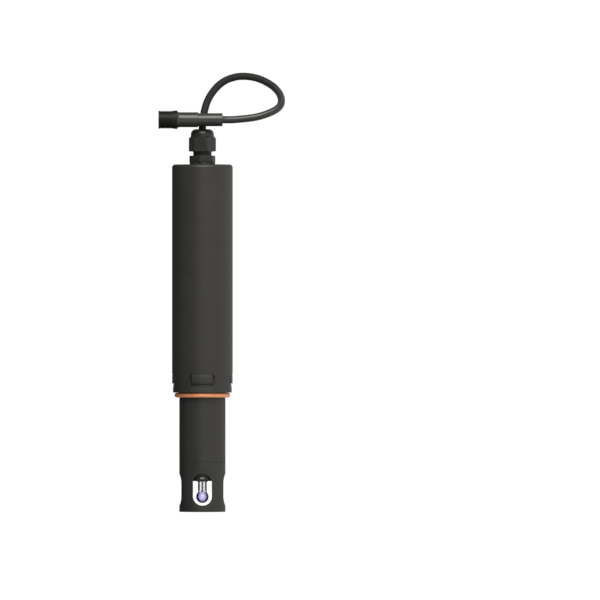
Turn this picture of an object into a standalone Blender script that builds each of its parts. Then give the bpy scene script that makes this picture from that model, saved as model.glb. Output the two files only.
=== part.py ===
"""A digital pH electrode with its cable and connector, lying on its side.

The probe is modelled round its own axis and then laid down. In the probe's frame, height runs
along the axis from the open end of the tip guard, and -Y is the side that faces up at rest.
The connector has a frame of its own, with its height along its axis. All sizes are in metres.
"""
import math

import bmesh
import bpy
from mathutils import Matrix, Vector
from mathutils.geometry import interpolate_bezier

for old_object in list(bpy.data.objects):
    bpy.data.objects.remove(old_object, do_unlink=True)

MM = 0.001
FULL_TURN = 2.0 * math.pi

# Facets round a turned piece
LARGE_SIDES = 36
MEDIUM_SIDES = 24
SMALL_SIDES = 20
ROD_SIDES = 10
WIRE_SIDES = 8
LEAD_SPACING = 4.0 * MM
BULB_STEPS = 6
FILLET_STEPS = 4

# Clearances: between seated pieces, under the housing's surface, beside a ring in its groove
SEAT_GAP = 0.3 * MM
PAD_INSET = 0.1 * MM
GROOVE_SLACK = 0.2 * MM
# Small chamfer on edges, and how far a cutter reaches past a face
EDGE = 0.3 * MM

# Tip guard
GUARD_LENGTH = 39.6 * MM
BARREL_RADIUS = 18.5 * MM
GUARD_WALL = 3.2 * MM
GUARD_WINDOW_WIDTH = 15.4 * MM
GUARD_WINDOW_START = 4.6 * MM
GUARD_WINDOW_END = 30.6 * MM

# Cartridge
SPIGOT_START = 24.7 * MM
SPIGOT_FLOOR = 1.3 * MM
BARREL_LENGTH = 55.5 * MM
SPIGOT_WALL = 2.5 * MM
COLLAR_HEIGHT = 2.5 * MM
NECK_LENGTH = 41.8 * MM
STEM_HOLE_RADIUS = 4.9 * MM
STEM_BOSS_WALL = 1.9 * MM
STEM_BOSS_HEIGHT = 4.8 * MM
HEAD_START = 38.6 * MM
HEAD_LENGTH = 13.7 * MM
HEAD_SIDE_GAP = 0.5 * MM
HEAD_TOP_WALL = 3.0 * MM
HEAD_GROOVE_DEPTH = 2.2 * MM
HEAD_GROOVE_WIDTH = 2.8 * MM
HEAD_GROOVE_HEIGHTS = (3.4 * MM, 8.8 * MM)
HEAD_RING_THICKNESS = 2.0 * MM

# Mounting O-ring
MOUNT_RING_THICKNESS = 3.8 * MM
MOUNT_GROOVE_DEPTH = 0.3 * MM
MOUNT_GROOVE_OFFSET = 0.4 * MM

# Glass electrode and what is round it
STEM_RADIUS = 3.5 * MM
BULB_RADIUS = 4.95 * MM
BULB_HEIGHT = 11.95 * MM
GLASS_WALL = 0.5 * MM
STEM_SOCKET_DEPTH = 2.3 * MM
FILL_TOP = 60.0 * MM
WIRE_RADIUS = 0.6 * MM
WIRE_START = 15.4 * MM
STEM_SEAL_LIP = 0.6 * MM
CAP_THICKNESS = 3.7 * MM
CAP_BOSS_DEPTH = 5.0 * MM
CAP_BOSS_WALL = 1.8 * MM
CAP_DEPTH = 8.0 * MM
ROD_REACH = 2.5 * MM
GEL_HEADROOM = 5.3 * MM
ROD_INSET = 4.0 * MM
REFERENCE_RADIUS = 0.8 * MM
REFERENCE_START = 40.0 * MM
SENSOR_RADIUS = 2.0 * MM
SENSOR_START = 34.0 * MM
JUNCTION_HEIGHT = 27.0 * MM
JUNCTION_WIDTH = 3.4 * MM
JUNCTION_TALL = 1.8 * MM

# Contacts between cartridge and housing
PIN_CIRCLE = 5.0 * MM
PIN_RADIUS = 0.8 * MM
PIN_REACH = 7.6 * MM
PIN_TAIL = 3.2 * MM
SOCKET_RADIUS = 9.0 * MM
SOCKET_LENGTH = 12.4 * MM
SOCKET_FLANGE_RADIUS = 12.0 * MM
SOCKET_FLANGE_HEIGHT = 2.7 * MM
LEAD_RADIUS = 0.45 * MM
RIBBON_WIDTH = 9.0 * MM
RIBBON_THICKNESS = 0.6 * MM
RIBBON_LAP = 6.5 * MM

# Housing
SHOULDER_WIDTH = 5.8 * MM
HOUSING_WALL = 2.9 * MM
HOUSING_LENGTH = 182.4 * MM
HOUSING_STEP = 1.0 * MM
HOUSING_TOP_WALL = 5.0 * MM
HOUSING_FILLET = 2.4 * MM
CARRIER_LEDGE_WIDTH = 1.5 * MM
CARRIER_LEDGE_DEPTH = 4.8 * MM
SNAP_BEAD = 0.5 * MM

# Snap latches
LATCH_COUNT = 4
POCKET_DEPTH = 0.8 * MM
POCKET_HALF_WIDTH = 10.4 * MM
POCKET_HEIGHT = 13.2 * MM
WINDOW_START = 4.4 * MM
WINDOW_END = 15.2 * MM
PAD_HALF_WIDTH = 8.5 * MM
PAD_START = 7.4 * MM
PAD_END = 13.8 * MM
HOOK_STEP_DEPTH = 1.2 * MM
ARM_HALF_WIDTH = 6.0 * MM
ARM_THICKNESS = 1.5 * MM
ARM_BORE_GAP = 1.3 * MM
HINGE_HEIGHT = 35.1 * MM
HINGE_BEAD_RADIUS = 0.95 * MM
LATCH_RING_HEIGHT = 5.5 * MM

# Board and carrier
CARRIER_DISC = 3.0 * MM
CARRIER_HOLE_RADIUS = 6.0 * MM
RAIL_WIDTH = 2.5 * MM
RAIL_DEPTH = 7.0 * MM
RAIL_SLOT_DEPTH = 1.2 * MM
RAIL_INSET = 1.4 * MM
BOARD_THICKNESS = 1.6 * MM
BOARD_HEADROOM = 8.7 * MM
TERMINAL_LENGTH = 8.0 * MM
TERMINAL_SHARE = 0.916
# Finish, width, length, height, offset across, and the middle's share of the way along the board
BOARD_PARTS = {
    "input_shield": ("steel", 16.0 * MM, 20.0 * MM, 3.6 * MM, 0.0, 0.24),
    "microcontroller": ("chip_resin", 10.0 * MM, 10.0 * MM, 1.4 * MM, 0.0, 0.48),
    "transceiver_chip": ("chip_resin", 7.5 * MM, 10.3 * MM, 2.4 * MM, -6.0 * MM, 0.676),
    "terminal_block": ("white_moulding", 14.0 * MM, TERMINAL_LENGTH, 8.0 * MM, 0.0, TERMINAL_SHARE),
}
TERMINAL_PITCH = 3.0 * MM
TERMINAL_FACE = 5.0 * MM
CAPACITOR_RADIUS = 3.0 * MM
CAPACITOR_HEIGHT = 7.0 * MM
CAPACITOR_ACROSS = 8.0 * MM
CAPACITOR_SHARES = (0.632, 0.72)

# Cable gland
HEX_ACROSS_FLATS = 19.0 * MM
GLAND_THREAD_RADIUS = 7.6 * MM
GLAND_HEX_HEIGHT = 5.6 * MM
GLAND_NECK_HEIGHT = 11.7 * MM
WASHER_THICKNESS = 0.8 * MM
WASHER_RADIUS = 9.2 * MM
LOCKNUT_HEIGHT = 4.0 * MM
NUT_OFFSET = 3.5 * MM
NUT_HEX_HEIGHT = 12.6 * MM
NUT_DOME_RADIUS = 9.25 * MM
NUT_DOME_HEIGHT = 5.2 * MM
NUT_DOME_ROUND = 4.2 * MM
NUT_CHAMFER_ANGLE = math.radians(30.0)
NUT_THREAD_RUN = 1.5 * MM
NUT_TAPER = 2.0 * MM
SEAL_RADIUS = 5.6 * MM
SEAL_HEIGHT = 12.0 * MM
SEAL_OFFSET = 4.5 * MM
SEAL_TAPER = 1.5 * MM
SEAL_TAPER_DEPTH = 1.0 * MM
FINGER_DEPTH = 5.0 * MM
FINGER_SLOT = 1.2 * MM
NUT_TURN = math.radians(30.5)
BODY_TURN = math.radians(49.0)

# Cable and connector
CABLE_RADIUS = 2.95 * MM
CONDUCTOR_RADIUS = 0.6 * MM
CONDUCTOR_PITCH = 1.3 * MM
CONNECTOR_OFFSET = 7.4 * MM
CONNECTOR_LIFT = 0.35 * MM
COUPLING_RADIUS = 7.15 * MM
COUPLING_COLLAR_RADIUS = 7.45 * MM
COUPLING_BORE_RADIUS = 6.0 * MM
COUPLING_START = -35.0 * MM
COUPLING_LENGTH = 14.4 * MM
COUPLING_BORE_DEPTH = 9.5 * MM
COLLAR_LENGTH = 1.8 * MM
INSERT_RADIUS = 4.0 * MM
INSERT_RECESS = 4.5 * MM
INSERT_TAIL = 2.1 * MM
FLANGE_LENGTH = 1.2 * MM
FLANGE_GAP = 0.4 * MM
NOSE_RING_THICKNESS = 1.3 * MM
SLEEVE_RADIUS = 6.0 * MM
SLEEVE_LENGTH = 16.9 * MM
SLEEVE_NOSE = 1.0 * MM
REAR_SLEEVE_RADIUS = 5.25 * MM
REAR_SLEEVE_LENGTH = 19.0 * MM
REAR_CHAMFER = 0.9 * MM
CABLE_STRAIGHT = 7.7 * MM
CONTACT_CIRCLE = 2.5 * MM
CONTACT_RADIUS = 0.6 * MM
CONTACT_BORE = 0.35 * MM
CONTACT_LENGTH = 7.5 * MM

# Radii, and heights along the probe's axis, that follow from the sizes above
SPIGOT_RADIUS = BARREL_RADIUS - GUARD_WALL - SEAT_GAP
CHAMBER_RADIUS = SPIGOT_RADIUS - SPIGOT_WALL
REFERENCE_OFFSET = CHAMBER_RADIUS - ROD_INSET
HOUSING_RADIUS = BARREL_RADIUS + SHOULDER_WIDTH
BARREL_START = GUARD_LENGTH + SEAT_GAP
HOUSING_START = BARREL_START + BARREL_LENGTH
HOUSING_END = HOUSING_START + HOUSING_LENGTH
HOUSING_BORE = HOUSING_RADIUS - HOUSING_WALL
UPPER_BORE = HOUSING_BORE - HOUSING_STEP
HEAD_BASE = HOUSING_START + HEAD_START
HEAD_END = HEAD_BASE + HEAD_LENGTH
HEAD_RADIUS = HOUSING_BORE - HEAD_SIDE_GAP
COLLAR_START = HOUSING_START + SEAT_GAP
NECK_START = COLLAR_START + COLLAR_HEIGHT
NECK_END = NECK_START + NECK_LENGTH
LEDGE_HEIGHT = HEAD_END + SEAT_GAP
SOCKET_START = HEAD_END + 2.0 * SEAT_GAP
CARRIER_START = SOCKET_START + SOCKET_LENGTH + SEAT_GAP
TOP_WALL_START = HOUSING_END - HOUSING_TOP_WALL
CARRIER_LEDGE = TOP_WALL_START - CARRIER_LEDGE_DEPTH
CARRIER_END = CARRIER_LEDGE - SEAT_GAP
CARRIER_RADIUS = UPPER_BORE - SEAT_GAP
RAIL_OUTER = CARRIER_RADIUS - RAIL_INSET
RAIL_INNER = RAIL_OUTER - RAIL_WIDTH
BOARD_HALF_WIDTH = RAIL_INNER + RAIL_SLOT_DEPTH - SEAT_GAP
BOARD_START = CARRIER_START + CARRIER_DISC + SEAT_GAP
BOARD_END = CARRIER_END - CARRIER_DISC - BOARD_HEADROOM
BOARD_LENGTH = BOARD_END - BOARD_START
PINS_END = HEAD_END + PIN_REACH
PINS_START = HEAD_END - HEAD_TOP_WALL - PIN_TAIL
CAP_END = NECK_END - CAP_DEPTH
CAP_HEIGHT = CAP_END - CAP_THICKNESS
CAP_BOSS_START = CAP_HEIGHT - CAP_BOSS_DEPTH
STEM_TOP = CAP_HEIGHT - STEM_SOCKET_DEPTH
GEL_TOP = CAP_BOSS_START - GEL_HEADROOM
RODS_END = CAP_END + ROD_REACH
NECK_RADIUS = SPIGOT_RADIUS
LATCH_ARM_OUTER = HOUSING_BORE - ARM_BORE_GAP
LATCH_ARM_INNER = LATCH_ARM_OUTER - ARM_THICKNESS
LATCH_HINGE_RADIUS = (LATCH_ARM_OUTER + LATCH_ARM_INNER) / 2.0
LATCH_HINGE = HOUSING_START + HINGE_HEIGHT
WASHER_START = HOUSING_END + SEAT_GAP
GLAND_HEX_START = WASHER_START + WASHER_THICKNESS + SEAT_GAP
GLAND_HEX_END = GLAND_HEX_START + GLAND_HEX_HEIGHT
GLAND_TOP = GLAND_HEX_END + GLAND_NECK_HEIGHT
GLAND_BOTTOM = CARRIER_END + SEAT_GAP
GLAND_HOLE_RADIUS = GLAND_THREAD_RADIUS + SEAT_GAP
GLAND_BORE = SEAL_RADIUS + SEAT_GAP
LOCKNUT_START = TOP_WALL_START - SEAT_GAP - LOCKNUT_HEIGHT
NUT_START = GLAND_HEX_END + NUT_OFFSET
NUT_HEX_END = NUT_START + NUT_HEX_HEIGHT
NUT_END = NUT_HEX_END + NUT_DOME_HEIGHT
SEAL_START = GLAND_HEX_END + SEAL_OFFSET
SEAL_END = SEAL_START + SEAL_HEIGHT
CABLE_HOLE_RADIUS = CABLE_RADIUS + SEAT_GAP
CABLE_TAIL_START = GLAND_BOTTOM + SEAT_GAP
PROBE_LENGTH = NUT_END
CONNECTOR_HEIGHT = PROBE_LENGTH + CONNECTOR_OFFSET
SLEEVE_START = COUPLING_START + COUPLING_LENGTH + SEAT_GAP
SLEEVE_END = SLEEVE_START + SLEEVE_LENGTH
REAR_SLEEVE_START = SLEEVE_END + SEAT_GAP
REAR_SLEEVE_END = REAR_SLEEVE_START + REAR_SLEEVE_LENGTH

# One facet of the housing lies on the ground, and the connector lies on the cable above the gland
AXIS_HEIGHT = HOUSING_RADIUS * math.cos(math.pi / LARGE_SIDES)
CONNECTOR_AXIS_HEIGHT = AXIS_HEIGHT + CABLE_RADIUS + REAR_SLEEVE_RADIUS + CONNECTOR_LIFT

# Colour, roughness and metallic value of each finish
FINISHES = {
    "black_moulding": ((0.045, 0.044, 0.041), 0.45, 0.0),
    "black_rubber": ((0.022, 0.022, 0.022), 0.7, 0.0),
    "orange_rubber": ((0.62, 0.21, 0.07), 0.5, 0.0),
    "cable_jacket": ((0.035, 0.035, 0.033), 0.5, 0.0),
    "glass": ((0.72, 0.70, 0.90), 0.05, 0.0),
    "buffer_liquid": ((0.60, 0.56, 0.88), 0.1, 0.0),
    "gel": ((0.80, 0.82, 0.80), 0.3, 0.0),
    "ceramic": ((0.62, 0.60, 0.56), 0.8, 0.0),
    "silver": ((0.70, 0.69, 0.66), 0.3, 1.0),
    "gold": ((0.83, 0.62, 0.28), 0.3, 1.0),
    "steel": ((0.60, 0.60, 0.60), 0.3, 1.0),
    "white_moulding": ((0.70, 0.70, 0.67), 0.5, 0.0),
    "green_laminate": ((0.03, 0.20, 0.08), 0.4, 0.0),
    "chip_resin": ((0.02, 0.02, 0.02), 0.5, 0.0),
}


def make_material(name, finish):
    """A Principled material with the finish's colour, roughness and metallic value."""
    colour, roughness, metallic = FINISHES[finish]
    material = bpy.data.materials.new(name)
    material.use_nodes = True
    shader = material.node_tree.nodes["Principled BSDF"]
    shader.inputs["Base Color"].default_value = (*colour, 1.0)
    shader.inputs["Roughness"].default_value = roughness
    shader.inputs["Metallic"].default_value = metallic
    return material


def add_empty(name, parent=None, location=(0.0, 0.0, 0.0), rotation=(0.0, 0.0, 0.0)):
    """An empty that carries pieces and marks an axis."""
    empty = bpy.data.objects.new(name, None)
    bpy.context.collection.objects.link(empty)
    empty.parent = parent
    empty.location = location
    empty.rotation_euler = rotation
    return empty


def add_object(name, bm, finish, parent):
    """Turns a bmesh into a named object with its own material."""
    mesh = bpy.data.meshes.new(name)
    bm.to_mesh(mesh)
    bm.free()
    mesh.shade_smooth()
    mesh.set_sharp_from_angle(angle=math.radians(30.0))
    mesh.materials.append(make_material(name + "_finish", finish))
    piece = bpy.data.objects.new(name, mesh)
    bpy.context.collection.objects.link(piece)
    piece.parent = parent
    return piece


def arc(centre, radius, start, end, steps):
    """Points (radius, height) along an arc, with its angles in degrees from straight outward."""
    points = []
    for index in range(steps + 1):
        angle = math.radians(start + (end - start) * index / steps)
        points.append((centre[0] + radius * math.cos(angle), centre[1] + radius * math.sin(angle)))
    return points


def turned(outline, sides):
    """Spins an outline of (radius, height) points round Z: a ring, or a solid from axis to axis."""
    bm = bmesh.new()
    half_facet = math.pi / sides
    verts = []
    for radius, height in outline:
        place = (radius * math.cos(half_facet), radius * math.sin(half_facet), height)
        verts.append(bm.verts.new(place))
    edges = [bm.edges.new(pair) for pair in zip(verts, verts[1:])]
    if outline[0][0] > 0.0:
        edges.append(bm.edges.new((verts[-1], verts[0])))
    bmesh.ops.spin(bm, geom=verts + edges, cent=(0.0, 0.0, 0.0), axis=(0.0, 0.0, 1.0),
                   angle=FULL_TURN, steps=sides, use_merge=True)
    bmesh.ops.remove_doubles(bm, verts=bm.verts, dist=0.001 * MM)
    bmesh.ops.recalc_face_normals(bm, faces=bm.faces)
    return bm


def rod(radius, start, end, sides=ROD_SIDES):
    """A round rod along Z."""
    return turned([(0.0, start), (radius, start), (radius, end), (0.0, end)], sides)


def ring(inner, outer, start, end, sides):
    """A plain ring along Z."""
    return turned([(inner, start), (outer, start), (outer, end), (inner, end)], sides)


def o_ring(middle_radius, thickness, height, sides, section_sides=8):
    """An O-ring whose section is a regular polygon."""
    turn = 180.0 / section_sides
    outline = arc((middle_radius, height), thickness / 2.0, turn, turn + 360.0, section_sides)
    return turned(outline[:-1], sides)


def spun(bm, angle, axis):
    """Turns a bmesh round an axis through the origin."""
    turn = Matrix.Rotation(angle, 3, axis)
    bmesh.ops.rotate(bm, cent=(0.0, 0.0, 0.0), matrix=turn, verts=bm.verts)
    return bm


def moved(bm, offset):
    """Shifts a bmesh."""
    bmesh.ops.translate(bm, vec=offset, verts=bm.verts)
    return bm


def box(low, high):
    """A box between two corners."""
    bm = bmesh.new()
    bmesh.ops.create_cube(bm, size=1.0)
    size = Vector(high) - Vector(low)
    middle = (Vector(high) + Vector(low)) / 2.0
    bmesh.ops.scale(bm, vec=size, verts=bm.verts)
    bmesh.ops.translate(bm, vec=middle, verts=bm.verts)
    return bm


def hexagon(across_flats, start, end, turn):
    """A hexagonal prism along Z, with its first corner turned from -Y towards +X."""
    bm = bmesh.new()
    corner_radius = across_flats / math.sqrt(3.0)
    bmesh.ops.create_circle(bm, cap_ends=True, segments=6, radius=corner_radius)
    corner = bm.verts[:][0].co
    spun(bm, turn - math.pi / 2.0 - math.atan2(corner.y, corner.x), "Z")
    grown = bmesh.ops.extrude_face_region(bm, geom=bm.faces[:])
    top = [item for item in grown["geom"] if isinstance(item, bmesh.types.BMVert)]
    bmesh.ops.translate(bm, vec=(0.0, 0.0, end - start), verts=top)
    bmesh.ops.recalc_face_normals(bm, faces=bm.faces)
    return moved(bm, (0.0, 0.0, start))


def slot_prism(width, low, high, near, far, segments):
    """A prism along Y whose section is an upright slot with round ends."""
    bm = bmesh.new()
    bmesh.ops.create_circle(bm, cap_ends=True, segments=segments, radius=width / 2.0)
    spun(bm, math.pi / 2.0, "X")
    moved(bm, (0.0, 0.0, low + width / 2.0))
    straight = (high - low) - width
    upper = [vert for vert in bm.verts if vert.co.z > low + width / 2.0 + 0.001 * MM]
    bmesh.ops.translate(bm, vec=(0.0, 0.0, straight), verts=upper)
    grown = bmesh.ops.extrude_face_region(bm, geom=bm.faces[:])
    front = [item for item in grown["geom"] if isinstance(item, bmesh.types.BMVert)]
    bmesh.ops.translate(bm, vec=(0.0, far - near, 0.0), verts=front)
    bmesh.ops.recalc_face_normals(bm, faces=bm.faces)
    return moved(bm, (0.0, near, 0.0))


def quarter_cuts(bm):
    """Cutting steps for a bmesh at each of the four latches."""
    cuts = []
    for index in range(LATCH_COUNT):
        cuts.append(("DIFFERENCE", spun(bm.copy(), FULL_TURN * index / LATCH_COUNT, "Z")))
    bm.free()
    return cuts


def four_places(circle_radius):
    """Centres of four contacts on a circle, between the main directions."""
    places = []
    for index in range(4):
        angle = FULL_TURN * (index + 0.5) / 4.0
        places.append((circle_radius * math.cos(angle), circle_radius * math.sin(angle)))
    return places


def combine(piece, steps):
    """Works one or more Boolean steps (operation, bmesh) into a piece's own mesh."""
    for operation, bm in steps:
        tool_mesh = bpy.data.meshes.new("tool")
        bm.to_mesh(tool_mesh)
        bm.free()
        tool = bpy.data.objects.new("tool", tool_mesh)
        bpy.context.collection.objects.link(tool)
        tool.parent = piece.parent
        tool.hide_render = True
        tool.display_type = "WIRE"
        boolean = piece.modifiers.new(operation.lower(), "BOOLEAN")
        boolean.operation = operation
        boolean.solver = "EXACT"
        boolean.object = tool
        bpy.context.view_layer.update()
        evaluated = piece.evaluated_get(bpy.context.evaluated_depsgraph_get())
        result = bpy.data.meshes.new_from_object(evaluated)
        piece.modifiers.clear()
        piece.data = result
        bpy.data.objects.remove(tool, do_unlink=True)
    piece.data.name = piece.name
    return piece


def smooth_points(route, spacing):
    """Reads evenly spaced points from one smooth curve through a route's points."""
    points = [Vector(point) for point in route]
    curve = []
    for index in range(len(points) - 1):
        before = points[max(index - 1, 0)]
        start, end = points[index], points[index + 1]
        after = points[min(index + 2, len(points) - 1)]
        reach = (end - start).length / 3.0
        leave = (end - before).normalized() * reach
        arrive = (after - start).normalized() * reach
        curve += interpolate_bezier(start, start + leave, end - arrive, end, 17)[:-1]
    curve.append(points[-1])
    lengths = [0.0]
    for first, second in zip(curve, curve[1:]):
        lengths.append(lengths[-1] + (second - first).length)
    count = max(2, round(lengths[-1] / spacing))
    even = []
    place = 0
    for index in range(count + 1):
        target = lengths[-1] * index / count
        while place < len(curve) - 2 and lengths[place + 1] < target:
            place += 1
        share = (target - lengths[place]) / (lengths[place + 1] - lengths[place])
        even.append(curve[place].lerp(curve[place + 1], share))
    return even


def add_tube(name, route, radius, finish, parent, spacing, resolution=2):
    """A cable or lead: a round tube with closed ends along its route."""
    curve = bpy.data.curves.new(name, "CURVE")
    curve.dimensions = "3D"
    curve.bevel_depth = radius
    curve.bevel_resolution = resolution
    curve.use_fill_caps = True
    points = smooth_points(route, spacing)
    spline = curve.splines.new("POLY")
    spline.points.add(len(points) - 1)
    for item, point in zip(spline.points, points):
        item.co = (*point, 1.0)
    curve.materials.append(make_material(name + "_finish", finish))
    tube = bpy.data.objects.new(name, curve)
    bpy.context.collection.objects.link(tube)
    tube.parent = parent
    return tube


def build_tip_guard(probe):
    """The slotted sleeve round the glass bulb, open at its lower end."""
    inner = SPIGOT_RADIUS + SEAT_GAP
    outline = [
        (inner, 0.0), (BARREL_RADIUS - EDGE, 0.0), (BARREL_RADIUS, EDGE),
        (BARREL_RADIUS, GUARD_LENGTH - EDGE), (BARREL_RADIUS - EDGE, GUARD_LENGTH),
        (inner, GUARD_LENGTH),
    ]
    guard = add_object("tip_guard", turned(outline, LARGE_SIDES), "black_moulding", probe)
    reach = 1.2 * BARREL_RADIUS
    along = slot_prism(GUARD_WINDOW_WIDTH, GUARD_WINDOW_START, GUARD_WINDOW_END, -reach, reach, 20)
    across = spun(along.copy(), math.pi / 2.0, "Z")
    combine(guard, [("DIFFERENCE", along), ("DIFFERENCE", across)])


def build_cartridge_body(probe):
    """Spigot, barrel, collar and neck, with the reference chamber inside."""
    groove_end = HOUSING_START - MOUNT_GROOVE_OFFSET
    groove_start = groove_end - MOUNT_RING_THICKNESS - 2.0 * GROOVE_SLACK
    groove_radius = BARREL_RADIUS - MOUNT_GROOVE_DEPTH
    collar_radius = HOUSING_BORE - SEAT_GAP
    boss_radius = STEM_HOLE_RADIUS + STEM_BOSS_WALL
    floor_top = SPIGOT_START + SPIGOT_FLOOR
    boss_top = floor_top + STEM_BOSS_HEIGHT
    outline = [
        (STEM_HOLE_RADIUS, SPIGOT_START), (SPIGOT_RADIUS - EDGE, SPIGOT_START),
        (SPIGOT_RADIUS, SPIGOT_START + EDGE), (SPIGOT_RADIUS, BARREL_START),
        (BARREL_RADIUS - EDGE, BARREL_START), (BARREL_RADIUS, BARREL_START + EDGE),
        (BARREL_RADIUS, groove_start), (groove_radius, groove_start), (groove_radius, groove_end),
        (BARREL_RADIUS, groove_end), (BARREL_RADIUS, COLLAR_START),
        (collar_radius, COLLAR_START), (collar_radius, NECK_START - EDGE),
        (collar_radius - EDGE, NECK_START), (NECK_RADIUS, NECK_START), (NECK_RADIUS, NECK_END),
        (CHAMBER_RADIUS, NECK_END), (CHAMBER_RADIUS, floor_top), (boss_radius, floor_top),
        (boss_radius, boss_top), (STEM_HOLE_RADIUS, boss_top),
    ]
    body = add_object("cartridge_body", turned(outline, LARGE_SIDES), "black_moulding", probe)
    hole = slot_prism(JUNCTION_TALL + 2.0 * SEAT_GAP, -JUNCTION_WIDTH / 2.0 - SEAT_GAP,
                      JUNCTION_WIDTH / 2.0 + SEAT_GAP, -1.2 * SPIGOT_RADIUS, -0.9 * CHAMBER_RADIUS, 12)
    combine(body, [("DIFFERENCE", lay_slot_across(hole))])


def lay_slot_across(bm):
    """Turns an upright slot prism so that it lies across the axis at the junction's height."""
    return moved(spun(bm, math.pi / 2.0, "Y"), (0.0, 0.0, JUNCTION_HEIGHT))


def build_mounting_ring(probe):
    """The orange O-ring that seals the probe in its port."""
    groove_end = HOUSING_START - MOUNT_GROOVE_OFFSET
    height = groove_end - MOUNT_RING_THICKNESS / 2.0 - GROOVE_SLACK
    middle = BARREL_RADIUS - MOUNT_GROOVE_DEPTH + SEAT_GAP + MOUNT_RING_THICKNESS / 2.0
    bm = o_ring(middle, MOUNT_RING_THICKNESS, height, LARGE_SIDES, 8)
    add_object("mounting_o_ring", bm, "orange_rubber", probe)


def build_cartridge_head(probe):
    """The head that closes the cartridge, carries its contact pins and seals in the housing."""
    inner = NECK_RADIUS + SEAT_GAP
    neck_seat = NECK_END + SEAT_GAP
    groove_radius = HEAD_RADIUS - HEAD_GROOVE_DEPTH
    outline = [
        (0.0, HEAD_END - HEAD_TOP_WALL), (CHAMBER_RADIUS, HEAD_END - HEAD_TOP_WALL),
        (CHAMBER_RADIUS, neck_seat), (inner, neck_seat), (inner, HEAD_BASE),
        (HEAD_RADIUS - EDGE, HEAD_BASE), (HEAD_RADIUS, HEAD_BASE + EDGE),
    ]
    for height in HEAD_GROOVE_HEIGHTS:
        low = HEAD_BASE + height - HEAD_GROOVE_WIDTH / 2.0
        high = HEAD_BASE + height + HEAD_GROOVE_WIDTH / 2.0
        outline += [(HEAD_RADIUS, low), (groove_radius, low), (groove_radius, high),
                    (HEAD_RADIUS, high)]
    outline += [(HEAD_RADIUS, HEAD_END - EDGE), (HEAD_RADIUS - EDGE, HEAD_END), (0.0, HEAD_END)]
    head = add_object("cartridge_head", turned(outline, MEDIUM_SIDES), "black_moulding", probe)
    holes = []
    for x, y in four_places(PIN_CIRCLE):
        hole = rod(PIN_RADIUS + SEAT_GAP, HEAD_END - 2.0 * HEAD_TOP_WALL, HEAD_END + HEAD_TOP_WALL)
        holes.append(("DIFFERENCE", moved(hole, (x, y, 0.0))))
    combine(head, holes)
    middle = groove_radius + SEAT_GAP + HEAD_RING_THICKNESS / 2.0
    for place, height in zip(("lower", "upper"), HEAD_GROOVE_HEIGHTS):
        bm = o_ring(middle, HEAD_RING_THICKNESS, HEAD_BASE + height, MEDIUM_SIDES, 6)
        add_object("head_o_ring_" + place, bm, "black_rubber", probe)


def build_glass(probe):
    """The pH glass: an open stem with a thin bulb, its buffer liquid, its wire and its seal."""
    neck_angle = math.degrees(math.acos(STEM_RADIUS / BULB_RADIUS))
    centre = (0.0, BULB_HEIGHT)
    inner_stem = STEM_RADIUS - GLASS_WALL
    inner_bulb = BULB_RADIUS - GLASS_WALL
    inner_neck = math.degrees(math.acos(inner_stem / inner_bulb))
    outline = arc(centre, BULB_RADIUS, -90.0, neck_angle, BULB_STEPS)
    outline[0] = (0.0, outline[0][1])
    outline += [(STEM_RADIUS, STEM_TOP), (inner_stem, STEM_TOP)]
    inside = arc(centre, inner_bulb, inner_neck, -90.0, BULB_STEPS)
    inside[-1] = (0.0, inside[-1][1])
    add_object("glass_electrode", turned(outline + inside, SMALL_SIDES), "glass", probe)

    fill_stem = inner_stem - SEAT_GAP
    fill_bulb = inner_bulb - SEAT_GAP
    fill_neck = math.degrees(math.acos(fill_stem / fill_bulb))
    liquid = arc(centre, fill_bulb, -90.0, fill_neck, BULB_STEPS)
    liquid[0] = (0.0, liquid[0][1])
    wire_well = WIRE_RADIUS + SEAT_GAP
    liquid += [(fill_stem, FILL_TOP), (wire_well, FILL_TOP), (wire_well, WIRE_START - SEAT_GAP),
               (0.0, WIRE_START - SEAT_GAP)]
    add_object("buffer_fill", turned(liquid, SMALL_SIDES), "buffer_liquid", probe)
    add_object("silver_wire", rod(WIRE_RADIUS, WIRE_START, RODS_END), "silver", probe)

    seal_top = SPIGOT_START + SPIGOT_FLOOR + STEM_BOSS_HEIGHT
    seal = ring(STEM_RADIUS + SEAT_GAP, STEM_HOLE_RADIUS - SEAT_GAP,
                SPIGOT_START - STEM_SEAL_LIP, seal_top, SMALL_SIDES)
    add_object("stem_seal", seal, "black_rubber", probe)


def rod_hole_cuts(reference_start, sensor_start):
    """Cutting steps for the clearance round the reference electrode and the sensor."""
    reference = rod(REFERENCE_RADIUS + SEAT_GAP, reference_start, NECK_END)
    sensor = rod(SENSOR_RADIUS + SEAT_GAP, sensor_start, NECK_END)
    return [("DIFFERENCE", moved(reference, (REFERENCE_OFFSET, 0.0, 0.0))),
            ("DIFFERENCE", moved(sensor, (-REFERENCE_OFFSET, 0.0, 0.0)))]


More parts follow.
